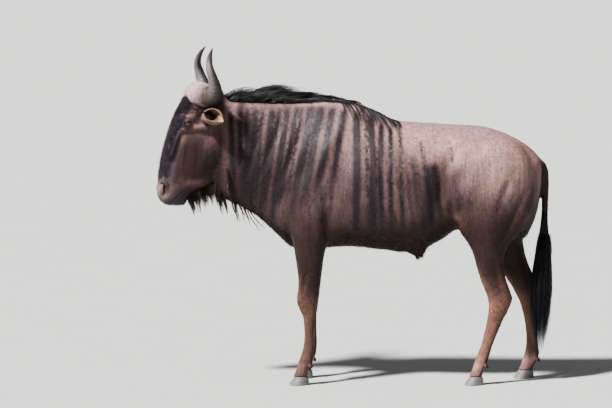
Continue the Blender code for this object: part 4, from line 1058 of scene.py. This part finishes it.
for side_name, side in (("left", -1), ("right", 1)):
    bpy.ops.object.select_all(action="DESELECT")
    bpy.ops.mesh.primitive_grid_add(x_subdivisions=44, y_subdivisions=48, size=1)
    ear = bpy.context.active_object
    ear.name = f"ear_leaf_{side_name}"
    flat = points_of(ear)
    along = flat[:, 1] + 0.5
    turn = flat[:, 0] * 2 * ear_turn(along)
    rim = step(np.abs(flat[:, 0]), 0.40, 0.50)
    radius = ear_radius(along) * (1 + 0.10 * np.sin(turn * 3 + 5 * along)) * (1 - 0.10 * rim)
    move_points(ear, from_head(on_ear(along, turn, radius, 1.0, 1.10) * (1, side, 1)))
    wall = ear.modifiers.new("wall", "SOLIDIFY")
    wall.thickness = EAR_WALL
    wall.offset = 0
    round_off = ear.modifiers.new("round_off", "SUBSURF")
    round_off.levels = 1
    apply_all(ear)
    bpy.ops.object.mode_set(mode="EDIT")
    bpy.ops.mesh.select_all(action="SELECT")
    bpy.ops.mesh.normals_make_consistent(inside=False)
    bpy.ops.object.mode_set(mode="OBJECT")
    bpy.ops.object.shade_smooth()
    own = in_head(points_of(ear)) * (1, side, 1)
    own_normals = in_head(points_of(ear) + points_of(ear, "normal")) * (1, side, 1) - own
    share = np.clip((own - EAR_ROOT) @ ear_way / EAR_LENGTH, 0, 1)
    middle = EAR_ROOT + ear_way * (EAR_LENGTH * share)[:, None] - ear_facing * ear_drift(share)[:, None]
    outward = unit(own - middle)
    inside = step(-(own_normals * outward).sum(axis=1), -0.3, 0.3)
    depth = -(own - middle) @ ear_facing / ear_radius(share)
    # Painted shade: the inside darkens with depth into the roll.
    deep = inside * step(depth, 0.1, 0.8) * step(share, 0.80, 0.40)
    rim_light = 0.20 * step(depth, -0.30, -0.75) * (1 - inside) * step(share, 0.35, 0.5)
    pale = np.maximum(inside, rim_light)
    paint_layer(ear, "ear_marks", np.stack([pale, deep, deep * 0], axis=1))
    ear.data.materials.append(ear_finish(f"ear_{side_name}_finish"))
    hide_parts(f"ear_{side_name}")
    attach(ear, "root")

    # Cream hairs from both rims, over the opening.
    draw = np.random.default_rng(81)
    along = draw.uniform(0.12, 0.97, EAR_HAIRS)
    edge = draw.choice((-1, 1), EAR_HAIRS)
    turn = edge * ear_turn(along) * draw.uniform(0.15, 0.99, EAR_HAIRS) ** 0.5
    roots = on_ear(along, turn, ear_radius(along), 0.98, 1.08)
    inward = ear_facing * np.cos(turn)[:, None] - ear_across * np.sin(turn)[:, None]
    ways = ear_way * 0.95 + inward * 0.40 + draw.normal(0, 0.14, (EAR_HAIRS, 3))
    steps = np.linspace(0, 1, 5)[None, :, None] * draw.uniform(0.008, 0.017, EAR_HAIRS)[:, None, None]
    paths = roots[:, None] + unit(ways)[:, None] * steps
    paths = from_head((paths * (1, side, 1)).reshape(-1, 3)).reshape(paths.shape)
    charts = ground.under(paths[:, 0])[2]
    widths = draw.uniform(0.0008, 0.0014, EAR_HAIRS)
    fringe, _ = hair(f"ear_hairs_{side_name}", paths, widths, charts, np.tile([0, 0, 1.0], (EAR_HAIRS, 1)))
    recipe = Recipe(f"ear_hairs_{side_name}")
    colour = recipe.blend(recipe.layer("tone"), (0.13, 0.085, 0.055), (0.40, 0.30, 0.21))
    fringe.data.materials.append(recipe.finish(colour, 0.5))
    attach(fringe, "root")

# Hooves
# Two slate-grey claws of horn to a foot, worn and dusty below, with fine level growth lines.
# They carry the weight, and are flat where they stand on the floor.
HOOF_VOXEL = 0.0017


def hoof_finish(name):
    recipe = Recipe(name)
    height = recipe.node("ShaderNodeSeparateXYZ", inputs={0: recipe.place()}, output=2)
    grain = recipe.noise(1.0, 4, 0.6, recipe.stretched((60, 60, 500)))
    broad = recipe.noise(40, 4)
    lines = recipe.sine(height * 1900 + broad * 7)
    colour = recipe.blend(broad, (0.085, 0.080, 0.088), (0.215, 0.200, 0.208))
    colour = recipe.blend(recipe.span(lines, 0.2, 1.0, 0.0, 0.35), colour, (0.085, 0.075, 0.078))
    colour = recipe.blend(recipe.span(height, 0.014, 0.0, 0.0, 0.7) * broad, colour, (0.250, 0.195, 0.150))
    rough = recipe.span(grain, 0.3, 0.7, 0.45, 0.70)
    return recipe.finish(colour, rough, grain * 0.7 + lines * 0.15, 0.0012, 0.6)


for foot in ("fore", "hind"):
    for side_name in ("left", "right"):
        node = f"{foot}_hoof_{side_name}"
        hoof = copy_nodes([node], f"{foot}_claws_{side_name}")
        fuse_and_soften(hoof, HOOF_VOXEL, 4)
        places = points_of(hoof)
        places[:, 2] = np.maximum(places[:, 2], 0.0)
        places[:, 2] = np.where(places[:, 2] < 0.0012, 0.0, places[:, 2])
        move_points(hoof, places)
        hoof.data.materials.append(hoof_finish(f"{node}_finish"))
        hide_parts(node)
        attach(hoof, "root")

# Mane
# Coarse black hair that grows from the whole crest. On the neck it rises, sweeps back and falls mostly
# to the right. Behind the withers it lies down both sides in thin separate locks.
MANE_START = -0.585
MANE_MIDDLE = -0.292
MANE_BACK = -0.045
MANE_END = 0.212
NECK_LOCKS = 150
BACK_LOCKS = 64


def long_hair(name, tips, roots, warm):
    """Glossy black hair with a blue cast, some of it browner, and browner still at its roots or tips."""
    recipe = Recipe(name)
    tone = recipe.layer("tone")
    along = recipe.layer("along")
    colour = recipe.blend(recipe.span(along, 0.0, 0.6), roots, tips)
    colour = recipe.blend(recipe.span(tone, 0.62, 1.0, 0.0, 0.8), colour, warm)
    streaks = recipe.noise(1.0, 2, 0.6, recipe.stretched((300, 300, 60)))
    colour = recipe.scaled(colour, recipe.span(streaks, 0.3, 0.7, 0.6, 1.5))
    recipe.put(recipe.shader.inputs["Specular IOR Level"], 0.45)
    return recipe.finish(colour, recipe.span(tone, 0.0, 1.0, 0.34, 0.50))


def crest_at(x, y):
    return np.array(ground.tree.ray_cast(Vector((x, y, 2.0)), Vector((0, 0, -1)))[0])


def grown_path(root, starts, pull, length, points, clear=None):
    """A lock that leaves its root one way, starts, and bends over to another, pull, as it goes."""
    path = [np.array(root, dtype=float)]
    for k in range(1, points):
        share = k / (points - 1)
        way = unit(np.array(starts) * (1 - share) ** 1.3 + np.array(pull) * share ** 0.9)
        path.append(path[-1] + way * length / (points - 1))
    path = np.array(path)
    return ground.cleared(path, clear) if clear else path


def strands(name, guides, each, spread, width, material, draw, gather=0.75, upward=(0, 1, 0), least=0.72):
    """Strands round each guide lock: apart at their roots, and drawn together towards the lock's tip."""
    guides = np.array(guides)
    count, length = guides.shape[:2]
    share = np.linspace(0, 1, length)
    paths = np.repeat(guides, each, axis=0)
    total = len(paths)
    apart = draw.normal(0, 1, (total, 1, 3)) * np.array(spread)
    apart[:, :, 2] = np.minimum(apart[:, :, 2], 0)
    closing = (1 - gather * share ** 0.8)[None, :, None]
    wave = draw.normal(0, 0.0022, (total, 1, 3))
    wave = wave * np.sin(share * draw.uniform(3, 9, (total, 1)) * 2)[:, :, None]
    reach = draw.uniform(least, 1.06, (total, 1, 1))
    start = paths[:, :1]
    paths = start + (paths - start) * reach + apart * closing + wave * share[None, :, None]
    found, normals, charts = ground.under(paths[:, 0])
    shift = found - normals * 0.002 - paths[:, 0]
    shift *= step(np.linalg.norm(shift, axis=1), 0.040, 0.025)[:, None]
    paths += shift[:, None] * ((1 - share) ** 2)[None, :, None]
    widths = draw.uniform(0.7, 1.25, total) * width
    side = unit(np.array(upward) + draw.normal(0, 0.35, (total, 3)))
    made, _ = hair(name, paths, widths, charts, side, 0.45)
    made.data.materials.append(material)
    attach(made, "root")
    return made


mane_finish = long_hair("mane_hair", (0.012, 0.011, 0.014), (0.010, 0.008, 0.008), (0.030, 0.022, 0.020))
draw = np.random.default_rng(31)
near_locks, far_locks = [], []
for i in range(NECK_LOCKS):
    x = MANE_START + (MANE_BACK - MANE_START) * (i + draw.uniform(0, 1)) / NECK_LOCKS
    fore = step(np.array([x]), MANE_MIDDLE + 0.02, MANE_MIDDLE - 0.02)[0]
    swell = math.exp(-((x + 0.455) / 0.06) ** 2)
    side = -1 if draw.uniform() < 0.28 else 1
    root = crest_at(x, MIDDLE_Y + side * draw.uniform(0.0, 0.012))
    rear = step(np.array([x]), -0.22, -0.07)[0]
    up = (0.95 + 1.05 * fore * swell + 0.35 * fore) * (1 - 0.65 * rear)
    back = 1.05 + 0.35 * fore - 0.3 * rear
    starts = (back, side * draw.uniform(0.10, 0.45), up * draw.uniform(0.8, 1.15))
    outward = side * draw.uniform(0.45, 0.95) * (0.30 if side < 0 else 1.0)
    pull = (0.85 + 0.7 * fore, outward, -0.75 + 0.15 * fore)
    length = draw.uniform(0.110, 0.155) + 0.060 * fore - 0.025 * rear
    path = grown_path(root, starts, pull, length * (0.75 if side < 0 else 1.15), 9, 0.006)
    (near_locks if side < 0 else far_locks).append(path)
mane_spread = (0.009, 0.004, 0.003)
mane_far = strands("mane_far_side", far_locks, 34, mane_spread, 0.0015, mane_finish, draw, 0.5, least=0.42)
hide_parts("mane")
strands("mane_near_side", near_locks, 38, mane_spread, 0.0015, mane_finish, draw, 0.5, least=0.42)

back_locks = []
for i in range(BACK_LOCKS):
    x = MANE_BACK - 0.04 + (MANE_END - MANE_BACK) * (i + draw.uniform(0, 1)) / BACK_LOCKS
    side = -1 if i % 2 else 1
    root = crest_at(x, MIDDLE_Y + side * draw.uniform(0.0, 0.010))
    starts = (0.70, side * draw.uniform(0.4, 0.8), 0.12)
    pull = (draw.uniform(0.05, 0.55), side * 0.8, -1.5)
    length = draw.uniform(0.10, 0.20) * (0.80 + 0.35 * math.sin(math.pi * i / BACK_LOCKS))
    back_locks.append(grown_path(root, starts, pull, length, 10, 0.0042))
back_spread = (0.0028, 0.002, 0.002)
mane_back = strands("mane_over_back", back_locks, 15, back_spread, 0.0014, mane_finish, draw, 0.90)
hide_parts("mane_back")

# Beard, throat and cheek hair
# Brown-black locks hang from the lower edge of the jaw and down its hind edge on both sides,
# and a few long wisps from the throat.
JAW_LOCKS = 64
THROAT_LOCKS = 9
CHEEK_LOCKS = 26
beard_finish = long_hair("beard_hair", (0.013, 0.010, 0.011), (0.040, 0.024, 0.018), (0.075, 0.042, 0.030))


def hanging_locks(count, spots, lengths, back, draw):
    """Locks that hang from the skin under each spot."""
    made = []
    for i in range(count):
        x, y = spots(i, draw)
        hit = ground.tree.ray_cast(Vector((x, y, 0.3)), Vector((0, 0, 1)))[0]
        length = draw.uniform(*lengths)
        starts = (draw.uniform(-0.1, 0.5), draw.normal(0, 0.2), -1.0)
        made.append(grown_path(hit, starts, (back * draw.uniform(0.2, 1.4), 0, -1.2), length, 8))
    return made


def along_jaw(i, draw):
    share = (i + draw.uniform(0, 1)) / JAW_LOCKS
    spot = from_head(((-0.735 + 0.165 * share, draw.normal(0, 0.020), 0),))[0]
    return spot[0], spot[1]


def along_throat(i, draw):
    return -0.556 + 0.010 * i, MIDDLE_Y + draw.normal(0, 0.006)


draw = np.random.default_rng(41)
jaw_locks = hanging_locks(JAW_LOCKS, along_jaw, (0.045, 0.115), 0.35, draw)
jaw_spread = (0.006, 0.006, 0.003)
beard = strands("beard_of_jaw", jaw_locks, 30, jaw_spread, 0.0017, beard_finish, draw, 0.85, (1, 0, 0))
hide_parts("beard_jaw")
throat_locks = hanging_locks(THROAT_LOCKS, along_throat, (0.080, 0.135), 1.1, draw)
throat_spread = (0.003, 0.003, 0.002)
throat = strands("throat_wisps", throat_locks, 22, throat_spread, 0.0016, beard_finish, draw, 0.92, (1, 0, 0))
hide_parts("beard_throat")
cheek_locks = []
for i in range(CHEEK_LOCKS):
    side = -1 if i % 2 else 1
    z = 1.00 - 0.165 * draw.uniform()
    hit = ground.tree.find_nearest(Vector(from_head(((-0.590, side * 0.13, z),))[0]))[0]
    cheek_locks.append(grown_path(hit, (0.3, side * 0.5, -0.8), (0.15, -side * 0.1, -1.0),
                                  draw.uniform(0.05, 0.10), 8, 0.004))
cheek_spread = (0.004, 0.003, 0.004)
strands("cheek_locks", cheek_locks, 24, cheek_spread, 0.0015, beard_finish, draw, 0.85, (1, 0, 0))

# Sheath hair
# A small tuft of the beard's kind of hair hangs from the tip of the sheath.
# It grows from the skin under the belly, a few centimetres behind the navel.
SHEATH_LOCKS = 12


def at_sheath(i, draw):
    return SHEATH[0][0] + draw.uniform(-0.022, 0.014), MIDDLE_Y + draw.normal(0, 0.008)


sheath_locks = hanging_locks(SHEATH_LOCKS, at_sheath, (0.012, 0.028), 0.5, draw)
sheath_spread = (0.004, 0.004, 0.001)
strands("sheath_tuft", sheath_locks, 18, sheath_spread, 0.0011, beard_finish, draw, 0.6, (1, 0, 0))

# Tail tassel
# Long, slightly wavy, blue-black hair grows all round the lower half of the dock.
# It hangs clear of the hocks, and ends in a loose point.
TASSEL_LOCKS = 120
# Each lock is turned this much from the last about the dock, so that they spread evenly.
TASSEL_TURN = 2.39996
TASSEL_Y = 0.0076
# Height, and x of the tassel's middle there; then height, and half the tassel's width there.
TASSEL_AXIS = np.array([
    (0.800, 0.856), (0.735, 0.853), (0.620, 0.850), (0.480, 0.843), (0.340, 0.838), (0.140, 0.838),
])
TASSEL_WIDTHS = np.array([
    (0.800, 0.013), (0.735, 0.015), (0.660, 0.026), (0.560, 0.044), (0.420, 0.058), (0.300, 0.052),
    (0.130, 0.010),
])
tassel_finish = long_hair("tassel_hair", (0.010, 0.010, 0.014), (0.012, 0.010, 0.011), (0.022, 0.018, 0.020))
draw = np.random.default_rng(51)
tassel_locks = []
for i in range(TASSEL_LOCKS):
    angle = TASSEL_TURN * i
    top = 0.800 - 0.175 * draw.uniform()
    tip = draw.uniform(0.150, 0.34) if i % 3 == 0 else draw.uniform(0.135, 0.215)
    path = []
    out = draw.uniform(0.35, 1.0)
    for share in np.linspace(0, 1, 11):
        z = top + (tip - top) * share
        middle = np.interp(-z, -TASSEL_AXIS[:, 0], TASSEL_AXIS[:, 1])
        reach = np.interp(-z, -TASSEL_WIDTHS[:, 0], TASSEL_WIDTHS[:, 1]) * (out if share > 0.1 else 0.9)
        reach = max(reach, 0.012 * (1 - share))
        path.append((middle + math.cos(angle) * reach * 0.95, TASSEL_Y + math.sin(angle) * reach * 0.60, z))
    tassel_locks.append(path)
spread = (0.0035, 0.0035, 0.004)
tassel = strands("tassel", tassel_locks, 22, spread, 0.0017, tassel_finish, draw, 0.45, (1, 0, 0), 0.86)
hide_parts("tail_tassel")
